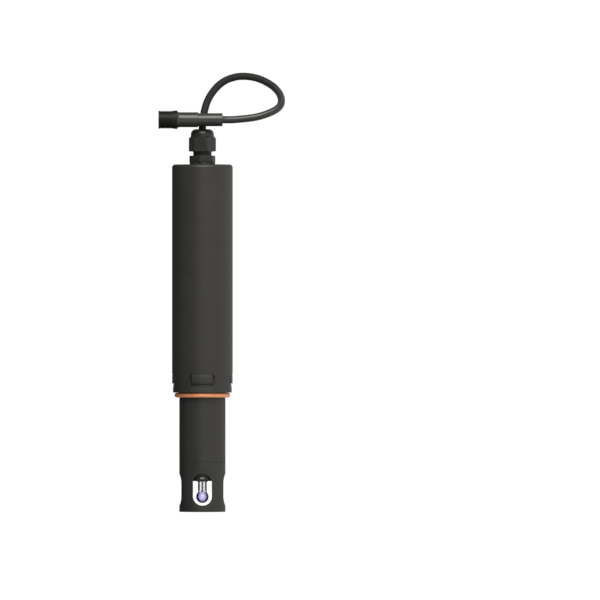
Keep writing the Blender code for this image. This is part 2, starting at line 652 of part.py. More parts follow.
def build_reference(probe):
    """The reference side: gel, electrode, temperature sensor, ceramic junction and chamber cap."""
    clear_stem = STEM_RADIUS + SEAT_GAP
    gel_start = SPIGOT_START + SPIGOT_FLOOR + STEM_BOSS_HEIGHT + SEAT_GAP
    gel_shape = ring(clear_stem, CHAMBER_RADIUS - SEAT_GAP, gel_start, GEL_TOP, MEDIUM_SIDES)
    gel = add_object("reference_gel", gel_shape, "gel", probe)
    combine(gel, rod_hole_cuts(REFERENCE_START - SEAT_GAP, SENSOR_START - SEAT_GAP))

    electrode = moved(rod(REFERENCE_RADIUS, REFERENCE_START, RODS_END), (REFERENCE_OFFSET, 0.0, 0.0))
    add_object("reference_electrode", electrode, "silver", probe)
    sensor = moved(rod(SENSOR_RADIUS, SENSOR_START, RODS_END), (-REFERENCE_OFFSET, 0.0, 0.0))
    add_object("temperature_sensor", sensor, "steel", probe)

    junction = slot_prism(JUNCTION_TALL, -JUNCTION_WIDTH / 2.0, JUNCTION_WIDTH / 2.0,
                          EDGE - SPIGOT_RADIUS, -CHAMBER_RADIUS, 12)
    add_object("ceramic_junction", lay_slot_across(junction), "ceramic", probe)

    boss_inner = STEM_RADIUS + SEAT_GAP
    boss_outer = boss_inner + CAP_BOSS_WALL
    stem_seat = STEM_TOP + SEAT_GAP
    outline = [
        (WIRE_RADIUS + SEAT_GAP, stem_seat), (boss_inner, stem_seat), (boss_inner, CAP_BOSS_START),
        (boss_outer, CAP_BOSS_START), (boss_outer, CAP_HEIGHT), (CHAMBER_RADIUS - SEAT_GAP, CAP_HEIGHT),
        (CHAMBER_RADIUS - SEAT_GAP, CAP_END), (WIRE_RADIUS + SEAT_GAP, CAP_END),
    ]
    cap = add_object("chamber_cap", turned(outline, MEDIUM_SIDES), "white_moulding", probe)
    combine(cap, rod_hole_cuts(GEL_TOP, GEL_TOP))


def build_contacts(probe):
    """Contact pins on the cartridge, their leads, and the socket that they enter."""
    for number, (x, y) in enumerate(four_places(PIN_CIRCLE), 1):
        pin = moved(rod(PIN_RADIUS, PINS_START, PINS_END), (x, y, 0.0))
        add_object(f"contact_pin_{number}", pin, "gold", probe)

    lead_start = RODS_END + SEAT_GAP
    lead_end = PINS_START - SEAT_GAP
    half_rise = (lead_start + lead_end) / 2.0
    sources = [(0.0, 0.0), (-REFERENCE_OFFSET, SENSOR_RADIUS / 2.0),
               (-REFERENCE_OFFSET, -SENSOR_RADIUS / 2.0), (REFERENCE_OFFSET, 0.0)]
    pins = four_places(PIN_CIRCLE)
    for number, ((start_x, start_y), (x, y)) in enumerate(zip(sources, pins), 1):
        middle = ((start_x + x) / 2.0, (start_y + y) / 2.0, half_rise)
        lead = [(start_x, start_y, lead_start), middle, (x, y, lead_end)]
        add_tube(f"cartridge_lead_{number}", lead, LEAD_RADIUS, "silver", probe, LEAD_SPACING, 1)

    socket_end = SOCKET_START + SOCKET_LENGTH
    flange_start = socket_end - SOCKET_FLANGE_HEIGHT
    outline = [
        (0.0, SOCKET_START), (SOCKET_RADIUS - EDGE, SOCKET_START),
        (SOCKET_RADIUS, SOCKET_START + EDGE), (SOCKET_RADIUS, flange_start),
        (SOCKET_FLANGE_RADIUS, flange_start), (SOCKET_FLANGE_RADIUS, socket_end), (0.0, socket_end),
    ]
    socket = add_object("contact_socket", turned(outline, SMALL_SIDES), "black_moulding", probe)
    holes = []
    for x, y in pins:
        hole = rod(PIN_RADIUS + SEAT_GAP, SOCKET_START - EDGE, PINS_END + SEAT_GAP)
        holes.append(("DIFFERENCE", moved(hole, (x, y, 0.0))))
    combine(socket, holes)

    ribbon_face = -BOARD_THICKNESS / 2.0 - SEAT_GAP
    ribbon = box((-RIBBON_WIDTH / 2.0, ribbon_face - RIBBON_THICKNESS, socket_end + SEAT_GAP),
                 (RIBBON_WIDTH / 2.0, ribbon_face, BOARD_START + RIBBON_LAP))
    add_object("socket_ribbon", ribbon, "white_moulding", probe)


def build_housing(probe):
    """The moulded cup, with its latch windows and pockets and the stepped bore."""
    low_bore, high_bore = HOUSING_BORE, UPPER_BORE
    bead_height = CARRIER_START - SEAT_GAP - SNAP_BEAD
    ledge_bore = high_bore - CARRIER_LEDGE_WIDTH
    fillet_centre = (HOUSING_RADIUS - HOUSING_FILLET, HOUSING_END - HOUSING_FILLET)
    outline = [(low_bore, HOUSING_START), (HOUSING_RADIUS - EDGE, HOUSING_START),
               (HOUSING_RADIUS, HOUSING_START + EDGE)]
    outline += arc(fillet_centre, HOUSING_FILLET, 0.0, 90.0, FILLET_STEPS)
    outline += [
        (GLAND_HOLE_RADIUS, HOUSING_END), (GLAND_HOLE_RADIUS, TOP_WALL_START),
        (ledge_bore, TOP_WALL_START), (ledge_bore, CARRIER_LEDGE), (high_bore, CARRIER_LEDGE),
        (high_bore, bead_height + SNAP_BEAD), (high_bore - SNAP_BEAD, bead_height),
        (high_bore, bead_height - SNAP_BEAD), (high_bore, LEDGE_HEIGHT), (low_bore, LEDGE_HEIGHT),
    ]
    housing = add_object("housing", turned(outline, LARGE_SIDES), "black_moulding", probe)

    pocket_radius = HOUSING_RADIUS - POCKET_DEPTH
    pocket_top = HOUSING_START + POCKET_HEIGHT
    far = 1.2 * HOUSING_RADIUS
    pocket = box((-POCKET_HALF_WIDTH, -far, HOUSING_START - POCKET_DEPTH),
                 (POCKET_HALF_WIDTH, 0.0, pocket_top))
    pocket_object = add_object("pocket", pocket, "black_moulding", probe)
    core = rod(pocket_radius, HOUSING_START - 2.0 * POCKET_DEPTH, pocket_top + EDGE, LARGE_SIDES)
    combine(pocket_object, [("DIFFERENCE", core)])
    pocket_shape = bmesh.new()
    pocket_shape.from_mesh(pocket_object.data)
    bpy.data.objects.remove(pocket_object, do_unlink=True)

    half_width = PAD_HALF_WIDTH + SEAT_GAP
    window = box((-half_width, -far, HOUSING_START + WINDOW_START),
                 (half_width, -0.5 * HOUSING_RADIUS, HOUSING_START + WINDOW_END))
    combine(housing, quarter_cuts(pocket_shape) + quarter_cuts(window))


def build_latches(probe):
    """The latch ring on the cartridge neck and its four sprung arms with their pads."""
    ring_end = HEAD_BASE - SEAT_GAP
    ring_start = ring_end - LATCH_RING_HEIGHT
    ring_radius = HOUSING_BORE - HEAD_SIDE_GAP
    outline = [
        (NECK_RADIUS + SEAT_GAP, ring_start), (ring_radius - EDGE, ring_start),
        (ring_radius, ring_start + EDGE), (ring_radius, ring_end - EDGE),
        (ring_radius - EDGE, ring_end), (NECK_RADIUS + SEAT_GAP, ring_end),
    ]
    latch_ring = add_object("latch_ring", turned(outline, MEDIUM_SIDES), "black_moulding", probe)
    slot_half = ARM_HALF_WIDTH + SEAT_GAP
    slot_inner = LATCH_HINGE_RADIUS - HINGE_BEAD_RADIUS - SEAT_GAP
    slot_top = LATCH_HINGE + HINGE_BEAD_RADIUS + SEAT_GAP
    slot = box((-slot_half, -HOUSING_RADIUS, ring_start - EDGE), (slot_half, -slot_inner, slot_top))
    combine(latch_ring, quarter_cuts(slot))

    hook_low = HOUSING_START + WINDOW_START + SEAT_GAP
    hook_high = HOUSING_START + WINDOW_END - SEAT_GAP
    pad_low = HOUSING_START + PAD_START
    pad_high = HOUSING_START + PAD_END
    crest = HOUSING_RADIUS - PAD_INSET
    step_radius = HOUSING_RADIUS - POCKET_DEPTH - HOOK_STEP_DEPTH
    arm = add_object("latch_arm", box((-PAD_HALF_WIDTH, -1.2 * HOUSING_RADIUS, hook_low),
                                      (PAD_HALF_WIDTH, -LATCH_ARM_INNER, hook_high)),
                     "black_moulding", probe)
    form = [
        (0.0, hook_low - EDGE), (step_radius, hook_low - EDGE), (step_radius, pad_low),
        (crest - EDGE, pad_low), (crest, pad_low + EDGE), (crest, pad_high),
        (step_radius, hook_high), (step_radius, hook_high + EDGE), (0.0, hook_high + EDGE),
    ]
    strip = box((-ARM_HALF_WIDTH, -LATCH_ARM_OUTER, hook_low + ARM_THICKNESS),
                (ARM_HALF_WIDTH, -LATCH_ARM_INNER, LATCH_HINGE))
    bead = spun(rod(HINGE_BEAD_RADIUS, -ARM_HALF_WIDTH, ARM_HALF_WIDTH, 12), math.pi / 2.0, "Y")
    moved(bead, (0.0, -LATCH_HINGE_RADIUS, LATCH_HINGE))
    combine(arm, [("INTERSECT", turned(form, LARGE_SIDES)), ("UNION", strip), ("UNION", bead)])
    arm.data.transform(Matrix.Translation((0.0, LATCH_HINGE_RADIUS, -LATCH_HINGE)))

    for index, side in enumerate(("front", "right", "back", "left")):
        angle = FULL_TURN * index / LATCH_COUNT
        place = (LATCH_HINGE_RADIUS * math.sin(angle), -LATCH_HINGE_RADIUS * math.cos(angle),
                 LATCH_HINGE)
        hinge = add_empty("latch_hinge_" + side, probe, place, (0.0, 0.0, angle))
        if index == 0:
            copy = arm
            copy.name = "latch_arm_front"
        else:
            copy = bpy.data.objects.new("latch_arm_" + side, arm.data.copy())
            copy.data.materials.clear()
            copy.data.materials.append(make_material(copy.name + "_finish", "black_moulding"))
            bpy.context.collection.objects.link(copy)
        copy.data.name = copy.name
        copy.parent = hinge


def build_carrier(probe):
    """The frame that holds the circuit board in the housing."""
    lower = turned([(CARRIER_HOLE_RADIUS, CARRIER_START), (CARRIER_RADIUS, CARRIER_START),
                    (CARRIER_RADIUS, CARRIER_START + CARRIER_DISC),
                    (CARRIER_HOLE_RADIUS, CARRIER_START + CARRIER_DISC)], MEDIUM_SIDES)
    upper = turned([(CARRIER_HOLE_RADIUS, CARRIER_END - CARRIER_DISC),
                    (CARRIER_RADIUS, CARRIER_END - CARRIER_DISC), (CARRIER_RADIUS, CARRIER_END),
                    (CARRIER_HOLE_RADIUS, CARRIER_END)], MEDIUM_SIDES)
    carrier = add_object("board_carrier", lower, "white_moulding", probe)
    overlap = CARRIER_DISC / 2.0
    steps = [("UNION", upper)]
    for side in (-1.0, 1.0):
        near, far = sorted((side * RAIL_INNER, side * RAIL_OUTER))
        rail = box((near, -RAIL_DEPTH / 2.0, CARRIER_START + overlap),
                   (far, RAIL_DEPTH / 2.0, CARRIER_END - overlap))
        steps.append(("UNION", rail))
    slot_half = BOARD_THICKNESS / 2.0 + SEAT_GAP
    slot_reach = BOARD_HALF_WIDTH + SEAT_GAP
    slot = box((-slot_reach, -slot_half, CARRIER_START + CARRIER_DISC),
               (slot_reach, slot_half, BOARD_END + SEAT_GAP))
    steps.append(("DIFFERENCE", slot))
    combine(carrier, steps)


def build_board(probe):
    """The circuit board with its parts on the front face."""
    half = BOARD_THICKNESS / 2.0
    board = box((-BOARD_HALF_WIDTH, -half, BOARD_START), (BOARD_HALF_WIDTH, half, BOARD_END))
    add_object("circuit_board", board, "green_laminate", probe)
    face = -half - SEAT_GAP
    for name, (finish, width, length, height, x, share) in BOARD_PARTS.items():
        middle = BOARD_START + share * BOARD_LENGTH
        low = (x - width / 2.0, face - height, middle - length / 2.0)
        high = (x + width / 2.0, face, middle + length / 2.0)
        add_object(name, box(low, high), finish, probe)
    for number, share in enumerate(CAPACITOR_SHARES, 1):
        can = spun(rod(CAPACITOR_RADIUS, 0.0, CAPACITOR_HEIGHT), math.pi / 2.0, "X")
        moved(can, (CAPACITOR_ACROSS, face, BOARD_START + share * BOARD_LENGTH))
        add_object(f"capacitor_{number}", can, "steel", probe)


def build_gland(probe):
    """Cable gland: washer, body, locknut, seal and domed nut."""
    washer = ring(GLAND_HOLE_RADIUS, WASHER_RADIUS, WASHER_START, WASHER_START + WASHER_THICKNESS,
                  SMALL_SIDES)
    add_object("gland_washer", washer, "black_rubber", probe)

    hex_radius = HEX_ACROSS_FLATS / math.sqrt(3.0)
    body_hex = hexagon(HEX_ACROSS_FLATS, GLAND_HEX_START, GLAND_HEX_END, BODY_TURN)
    body = add_object("gland_body", body_hex, "black_moulding", probe)
    barrel = turned([(0.0, GLAND_BOTTOM), (GLAND_THREAD_RADIUS - EDGE, GLAND_BOTTOM),
                     (GLAND_THREAD_RADIUS, GLAND_BOTTOM + EDGE),
                     (GLAND_THREAD_RADIUS, GLAND_TOP - EDGE),
                     (GLAND_THREAD_RADIUS - EDGE, GLAND_TOP), (0.0, GLAND_TOP)], SMALL_SIDES)
    cable_bore = CABLE_RADIUS + 3.5 * SEAT_GAP
    seal_seat = SEAL_START - SEAT_GAP
    bore = turned([(0.0, GLAND_BOTTOM - EDGE), (cable_bore, GLAND_BOTTOM - EDGE),
                   (cable_bore, seal_seat), (GLAND_BORE, seal_seat),
                   (GLAND_BORE, GLAND_TOP + EDGE), (0.0, GLAND_TOP + EDGE)], SMALL_SIDES)
    combine(body, [("UNION", barrel), ("DIFFERENCE", bore)])
    finger_slots = []
    for index in range(3):
        slot = box((-GLAND_THREAD_RADIUS - EDGE, -FINGER_SLOT / 2.0, GLAND_TOP - FINGER_DEPTH),
                   (GLAND_THREAD_RADIUS + EDGE, FINGER_SLOT / 2.0, GLAND_TOP + EDGE))
        finger_slots.append(("DIFFERENCE", spun(slot, math.pi * index / 3.0, "Z")))
    combine(body, finger_slots)

    locknut_hex = hexagon(HEX_ACROSS_FLATS, LOCKNUT_START, LOCKNUT_START + LOCKNUT_HEIGHT, 0.0)
    locknut = add_object("gland_locknut", locknut_hex, "black_moulding", probe)
    thread_hole = rod(GLAND_HOLE_RADIUS, LOCKNUT_START - EDGE, LOCKNUT_START + LOCKNUT_HEIGHT + EDGE,
                      SMALL_SIDES)
    combine(locknut, [("DIFFERENCE", thread_hole)])

    seal = turned([(CABLE_HOLE_RADIUS, SEAL_START), (SEAL_RADIUS, SEAL_START),
                   (SEAL_RADIUS, SEAL_END - SEAL_TAPER), (SEAL_RADIUS - SEAL_TAPER_DEPTH, SEAL_END),
                   (CABLE_HOLE_RADIUS, SEAL_END)], SMALL_SIDES)
    add_object("gland_seal", seal, "black_rubber", probe)

    nut = add_object("gland_nut", hexagon(HEX_ACROSS_FLATS, NUT_START, NUT_HEX_END, NUT_TURN),
                     "black_moulding", probe)
    slope = math.tan(NUT_CHAMFER_ANGLE)
    far = 1.3 * hex_radius
    chamfer = turned([
        (0.0, NUT_START), (HEX_ACROSS_FLATS / 2.0 + EDGE, NUT_START),
        (far, NUT_START + (far - HEX_ACROSS_FLATS / 2.0 - EDGE) * slope),
        (far, NUT_HEX_END - (far - NUT_DOME_RADIUS) * slope), (NUT_DOME_RADIUS, NUT_HEX_END),
        (0.0, NUT_HEX_END),
    ], MEDIUM_SIDES)
    round_centre = (NUT_DOME_RADIUS - NUT_DOME_ROUND, NUT_END - NUT_DOME_ROUND)
    dome_outline = [(0.0, NUT_HEX_END - EDGE), (NUT_DOME_RADIUS, NUT_HEX_END - EDGE)]
    dome_outline += arc(round_centre, NUT_DOME_ROUND, 0.0, 90.0, FILLET_STEPS)
    dome_outline.append((0.0, NUT_END))
    thread_top = GLAND_TOP + NUT_THREAD_RUN
    seal_clear = SEAL_RADIUS + SEAT_GAP
    cavity = turned([
        (0.0, NUT_START - EDGE), (GLAND_HOLE_RADIUS, NUT_START - EDGE),
        (GLAND_HOLE_RADIUS, thread_top), (seal_clear, thread_top + NUT_TAPER),
        (seal_clear, SEAL_END + SEAT_GAP), (CABLE_HOLE_RADIUS, SEAL_END + NUT_TAPER),
        (CABLE_HOLE_RADIUS, NUT_END + EDGE), (0.0, NUT_END + EDGE),
    ], SMALL_SIDES)
    combine(nut, [("INTERSECT", chamfer), ("UNION", turned(dome_outline, MEDIUM_SIDES)),
                  ("DIFFERENCE", cavity)])


def build_held_cable(probe):
    """The stretch of cable inside the gland, and its conductors down to the terminal block."""
    tail = [(0.0, 0.0, CABLE_TAIL_START), (0.0, 0.0, NUT_END - SEAT_GAP / 3.0)]
    add_tube("cable_tail", tail, CABLE_RADIUS, "cable_jacket", probe, NUT_END - CABLE_TAIL_START)
    block_top = BOARD_START + TERMINAL_SHARE * BOARD_LENGTH + TERMINAL_LENGTH / 2.0
    for index in range(4):
        start_x = (index - 1.5) * CONDUCTOR_PITCH
        end_x = (index - 1.5) * TERMINAL_PITCH
        conductor = [
            (start_x, 0.0, CABLE_TAIL_START - SEAT_GAP),
            (start_x, -0.1 * TERMINAL_FACE, CARRIER_END - CARRIER_DISC),
            ((start_x + end_x) / 2.0, -0.8 * TERMINAL_FACE, block_top + 2.0 * TERMINAL_PITCH),
            (end_x, -TERMINAL_FACE, block_top + SEAT_GAP),
        ]
        add_tube(f"cable_conductor_{index + 1}", conductor, CONDUCTOR_RADIUS, "white_moulding",
                 probe, LEAD_SPACING, 1)


def build_connector(connector):
    """The moulded round connector: free coupling ring, contact insert and two sleeves."""
    coupling_end = COUPLING_START + COUPLING_LENGTH
    bore_end = COUPLING_START + COUPLING_BORE_DEPTH
    rear_hole = INSERT_RADIUS + SEAT_GAP
    collar_start = coupling_end - COLLAR_LENGTH
    outline = [
        (COUPLING_BORE_RADIUS, COUPLING_START), (COUPLING_RADIUS - EDGE, COUPLING_START),
        (COUPLING_RADIUS, COUPLING_START + EDGE), (COUPLING_RADIUS, collar_start - EDGE),
        (COUPLING_COLLAR_RADIUS, collar_start), (COUPLING_COLLAR_RADIUS, coupling_end - EDGE),
        (COUPLING_COLLAR_RADIUS - EDGE, coupling_end), (rear_hole, coupling_end),
        (rear_hole, bore_end), (COUPLING_BORE_RADIUS, bore_end),
    ]
    add_object("connector_coupling", turned(outline, MEDIUM_SIDES), "black_moulding", connector)

    insert_front = COUPLING_START + INSERT_RECESS
    flange_end = bore_end - SEAT_GAP
    flange_start = flange_end - FLANGE_LENGTH
    flange_radius = COUPLING_BORE_RADIUS - FLANGE_GAP
    insert_end = SLEEVE_START + INSERT_TAIL - SEAT_GAP
    insert = add_object("connector_insert", turned([
        (0.0, insert_front), (INSERT_RADIUS, insert_front), (INSERT_RADIUS, flange_start),
        (flange_radius, flange_start), (flange_radius, flange_end), (INSERT_RADIUS, flange_end),
        (INSERT_RADIUS, insert_end), (0.0, insert_end),
    ], SMALL_SIDES), "black_moulding", connector)
    hole_end = insert_front + CONTACT_LENGTH + 3.0 * SEAT_GAP
    holes = []
    for number, (x, y) in enumerate(four_places(CONTACT_CIRCLE), 1):
        hole = rod(CONTACT_RADIUS + SEAT_GAP, insert_front - EDGE, hole_end, WIRE_SIDES)
        holes.append(("DIFFERENCE", moved(hole, (x, y, 0.0))))
        start = insert_front + 2.0 * SEAT_GAP
        contact = ring(CONTACT_BORE, CONTACT_RADIUS, start, start + CONTACT_LENGTH, WIRE_SIDES)
        add_object(f"connector_contact_{number}", moved(contact, (x, y, 0.0)), "gold", connector)
    combine(insert, holes)

    seal_middle = INSERT_RADIUS + SEAT_GAP + NOSE_RING_THICKNESS / 2.0
    seal_place = flange_start - SEAT_GAP - NOSE_RING_THICKNESS / 2.0
    seal = o_ring(seal_middle, NOSE_RING_THICKNESS, seal_place, SMALL_SIDES, 6)
    add_object("connector_o_ring", seal, "black_rubber", connector)

    socket_radius = INSERT_RADIUS + SEAT_GAP
    socket_end = SLEEVE_START + INSERT_TAIL
    front = turned([
        (0.0, socket_end), (socket_radius, socket_end), (socket_radius, SLEEVE_START),
        (SLEEVE_RADIUS - SLEEVE_NOSE, SLEEVE_START), (SLEEVE_RADIUS, SLEEVE_START + SLEEVE_NOSE),
        (SLEEVE_RADIUS, SLEEVE_END - EDGE), (SLEEVE_RADIUS - EDGE, SLEEVE_END), (0.0, SLEEVE_END),
    ], MEDIUM_SIDES)
    add_object("connector_front_sleeve", front, "black_moulding", connector)
    rear = turned([
        (0.0, REAR_SLEEVE_START), (REAR_SLEEVE_RADIUS - EDGE, REAR_SLEEVE_START),
        (REAR_SLEEVE_RADIUS, REAR_SLEEVE_START + EDGE),
        (REAR_SLEEVE_RADIUS, REAR_SLEEVE_END - REAR_CHAMFER),
        (REAR_SLEEVE_RADIUS - REAR_CHAMFER, REAR_SLEEVE_END), (0.0, REAR_SLEEVE_END),
    ], MEDIUM_SIDES)
    add_object("connector_rear_sleeve", rear, "black_moulding", connector)


# The free cable's route, chosen by hand, in millimetres: across, beyond the gland's end, and up.
# It leaves the gland, drops to the ground in a loop and climbs back to the connector, which lies
# across it.
CABLE_ROUTE = [
    (0.0, 0.2, 24.25), (0.15, 4.4, 24.25), (0.7, 9.4, 24.1), (1.7, 14.8, 22.6), (3.2, 20.3, 19.0),
    (5.0, 24.7, 14.6), (8.1, 29.8, 9.2), (12.9, 35.3, 5.1), (19.3, 39.7, 3.4), (27.3, 42.2, 3.1),
    (33.7, 42.6, 3.1), (40.1, 41.9, 3.1), (46.5, 40.1, 3.3), (52.9, 36.9, 4.6), (57.9, 33.2, 7.4),
    (61.6, 28.6, 11.9), (63.2, 23.6, 17.0), (62.4, 19.1, 21.6), (58.8, 15.5, 25.3),
    (52.9, 12.6, 28.2), (46.5, 10.4, 30.3), (40.1, 9.0, 31.6), (30.5, 7.9, 32.7),
    (24.1, 7.5, 32.8), (16.5, 7.4, 32.8),
]


def build_free_cable():
    """The free cable, straight out of the gland and into the back of the connector."""
    exit_y = PROBE_LENGTH / 2.0
    route = [Vector((x * MM, exit_y + y * MM, z * MM)) for x, y, z in CABLE_ROUTE]
    route[0].z = AXIS_HEIGHT
    route[1].z = AXIS_HEIGHT
    connector_end = Vector((REAR_SLEEVE_END + SEAT_GAP, exit_y + CONNECTOR_OFFSET,
                            CONNECTOR_AXIS_HEIGHT))
    route[-1] = connector_end
    route[-2] = connector_end + Vector((CABLE_STRAIGHT, 0.0, 0.0))
    add_tube("signal_cable", route, CABLE_RADIUS, "cable_jacket", None, 2.0 * CABLE_RADIUS)


def build_all():
    """Lays the probe along +Y and builds every piece."""
    probe = add_empty("probe_axis", None, (0.0, -PROBE_LENGTH / 2.0, AXIS_HEIGHT),
                      (-math.pi / 2.0, 0.0, 0.0))
    connector_place = (0.0, CONNECTOR_HEIGHT - PROBE_LENGTH / 2.0, CONNECTOR_AXIS_HEIGHT)
    connector = add_empty("connector_axis", None, connector_place, (0.0, math.pi / 2.0, 0.0))
    build_tip_guard(probe)
    build_cartridge_body(probe)
    build_mounting_ring(probe)
    build_cartridge_head(probe)
    build_glass(probe)
    build_reference(probe)
    build_contacts(probe)
    build_housing(probe)
    build_latches(probe)
    build_carrier(probe)
    build_board(probe)
    build_gland(probe)
    build_held_cable(probe)
    build_connector(connector)
    build_free_cable()


build_all()
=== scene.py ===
# %% [markdown]
# # A digital pH electrode, dressed for its picture
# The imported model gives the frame: where each piece is, and which pieces move together. This
# script builds the visible skin over it. Turned pieces are spun from their outlines, windows are
# cut with Booleans and their edges rounded, and every finish is made from shader nodes.

# %% Load the frame
import math

import bmesh
import bpy
from mathutils import Matrix, Vector
from mathutils.geometry import interpolate_bezier


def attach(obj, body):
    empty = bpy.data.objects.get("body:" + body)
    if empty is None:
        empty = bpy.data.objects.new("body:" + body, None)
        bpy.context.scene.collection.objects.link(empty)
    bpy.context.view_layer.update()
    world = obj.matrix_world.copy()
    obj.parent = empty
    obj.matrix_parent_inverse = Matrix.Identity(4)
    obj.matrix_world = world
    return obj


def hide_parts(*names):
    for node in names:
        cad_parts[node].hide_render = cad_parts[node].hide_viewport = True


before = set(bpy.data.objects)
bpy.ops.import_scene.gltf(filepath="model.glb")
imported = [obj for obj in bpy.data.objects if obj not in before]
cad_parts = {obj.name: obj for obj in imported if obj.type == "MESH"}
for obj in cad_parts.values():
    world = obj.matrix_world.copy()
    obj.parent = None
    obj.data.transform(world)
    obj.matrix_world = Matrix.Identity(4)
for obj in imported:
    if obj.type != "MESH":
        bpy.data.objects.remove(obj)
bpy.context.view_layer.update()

# %% [markdown]
# Everything below is drawn in millimetres in one of two local frames. The probe's frame has its
# height along the probe, from the open end of the guard, and its -Y side faces up at rest. The
# connector's frame has its height along the connector. A matrix then lays each piece in place, so
# every finished object sits unturned at the origin with its place in its mesh. The CAD housing is
# a prism that lies on one of its sides, so the probe's axis is a little lower than its radius.

# %% The two frames
MM = 0.001
PROBE_LENGTH = 306.1
HOUSING_RADIUS = 24.3
CAD_HOUSING_SIDES = 36
CONNECTOR_BEYOND = 7.4
CONNECTOR_RAISED = 8.55
AXIS_HEIGHT = HOUSING_RADIUS * math.cos(math.pi / CAD_HOUSING_SIDES)
CONNECTOR_ALONG = PROBE_LENGTH / 2.0 + CONNECTOR_BEYOND
CONNECTOR_HEIGHT = AXIS_HEIGHT + CONNECTOR_RAISED

probe_frame = (Matrix.Scale(MM, 4) @ Matrix.Translation((0.0, -PROBE_LENGTH / 2.0, AXIS_HEIGHT))
               @ Matrix.Rotation(-math.pi / 2.0, 4, "X"))
connector_frame = (Matrix.Scale(MM, 4)
                   @ Matrix.Translation((0.0, CONNECTOR_ALONG, CONNECTOR_HEIGHT))
                   @ Matrix.Rotation(math.pi / 2.0, 4, "Y"))

# %% [markdown]
# The photograph was taken square on from far away, so a long lens looks straight down on the probe
# as it lies. Its edges show no perspective, so the lens is very long: 800 mm on a 36 mm sensor.
# One pixel is 0.8 mm and the picture is 600 pixels wide, which sets how far away it stands.

# %% Camera
LENS = 800.0
SENSOR = 36.0
PIXEL = 0.8
PICTURE_PIXELS = 600.0
VIEW_CENTRE = (78.1 * MM, 16.35 * MM)
VIEW_WIDTH = PIXEL * PICTURE_PIXELS * MM
camera_data = bpy.data.cameras.new("camera")
camera_data.lens = LENS
camera_data.sensor_width = SENSOR
camera = bpy.data.objects.new("camera", camera_data)
bpy.context.scene.collection.objects.link(camera)
camera.location = (*VIEW_CENTRE, AXIS_HEIGHT * MM + VIEW_WIDTH * LENS / SENSOR)
bpy.context.scene.camera = camera
bpy.context.scene.view_settings.view_transform = "Standard"
print("camera height:", round(camera.location.z, 3))

# %% [markdown]
# The floor is plain. Seen straight on, or through the glass, it is as white as the photograph's
# background. What it throws back on the probe is set apart with the Light Path node: dark on the
# left and pale on the right, as if a black card lay beside the probe, because its left flank stays
# dark. The world behind the floor is parted in the same way further down.

# %% Floor
def link(tree, source, target):
    """Joins two sockets."""
    tree.links.new(source, target)


def seen_and_thrown(tree, seen, thrown, end):
    """Shows one shader straight on or through glass, and lights the scene with another."""
    path = tree.nodes.new("ShaderNodeLightPath")
    either = tree.nodes.new("ShaderNodeMath")
    either.operation = "MAXIMUM"
    mix = tree.nodes.new("ShaderNodeMixShader")
    link(tree, path.outputs["Is Camera Ray"], either.inputs[0])
    link(tree, path.outputs["Is Transmission Ray"], either.inputs[1])
    link(tree, either.outputs[0], mix.inputs[0])
    link(tree, thrown.outputs[0], mix.inputs[1])
    link(tree, seen.outputs[0], mix.inputs[2])
    link(tree, mix.outputs[0], end.inputs["Surface"])


WHITE_SEEN = 1.02
CARD_SPAN = (-0.05, 0.12)
CARD_TONES = (0.06, 0.75)
FLOOR_SIZE = 6.0

floor_finish = bpy.data.materials.new("pale_floor")
floor_finish.use_nodes = True
floor_tree = floor_finish.node_tree
floor_tree.nodes.clear()
floor_seen = floor_tree.nodes.new("ShaderNodeEmission")
floor_seen.inputs["Strength"].default_value = WHITE_SEEN
floor_thrown = floor_tree.nodes.new("ShaderNodeBsdfDiffuse")
floor_place = floor_tree.nodes.new("ShaderNodeTexCoord")
floor_across = floor_tree.nodes.new("ShaderNodeSeparateXYZ")
floor_card = floor_tree.nodes.new("ShaderNodeMapRange")
floor_card.inputs["From Min"].default_value = CARD_SPAN[0]
floor_card.inputs["From Max"].default_value = CARD_SPAN[1]
floor_card.inputs["To Min"].default_value = CARD_TONES[0]
floor_card.inputs["To Max"].default_value = CARD_TONES[1]
link(floor_tree, floor_place.outputs["Object"], floor_across.inputs[0])
link(floor_tree, floor_across.outputs["X"], floor_card.inputs["Value"])
link(floor_tree, floor_card.outputs["Result"], floor_thrown.inputs["Color"])
seen_and_thrown(floor_tree, floor_seen, floor_thrown,
                floor_tree.nodes.new("ShaderNodeOutputMaterial"))

floor_shape = bmesh.new()
bmesh.ops.create_grid(floor_shape, x_segments=1, y_segments=1, size=FLOOR_SIZE)
floor_mesh = bpy.data.meshes.new("floor")
floor_shape.to_mesh(floor_mesh)
floor_shape.free()
floor_mesh.materials.append(floor_finish)
floor = bpy.data.objects.new("floor", floor_mesh)
bpy.context.scene.collection.objects.link(floor)
print("floor nodes:", len(floor_tree.nodes))

# %% [markdown]
# The light is soft. A wide panel above the probe's right side and a weaker one low on its right
# give the smooth rise from a dark left flank. A strong panel beyond the gland end draws the bright
# band along the connector and the spark on the gland's dome. The world adds a faint cool light.

# %% Lights
PANEL_COLOUR = (1.0, 0.975, 0.92)


def add_panel(name, place, aim, width, height, power):
    """A rectangular area light that faces a point."""
    panel_data = bpy.data.lights.new(name, "AREA")
    panel_data.shape = "RECTANGLE"
    panel_data.size = width
    panel_data.size_y = height
    panel_data.energy = power
    panel_data.color = PANEL_COLOUR
    panel = bpy.data.objects.new(name, panel_data)
    bpy.context.scene.collection.objects.link(panel)
    panel.location = place
    panel.rotation_mode = "QUATERNION"
    panel.rotation_quaternion = (Vector(aim) - Vector(place)).to_track_quat("-Z", "Y")
    print(name, "gives", power, "W")


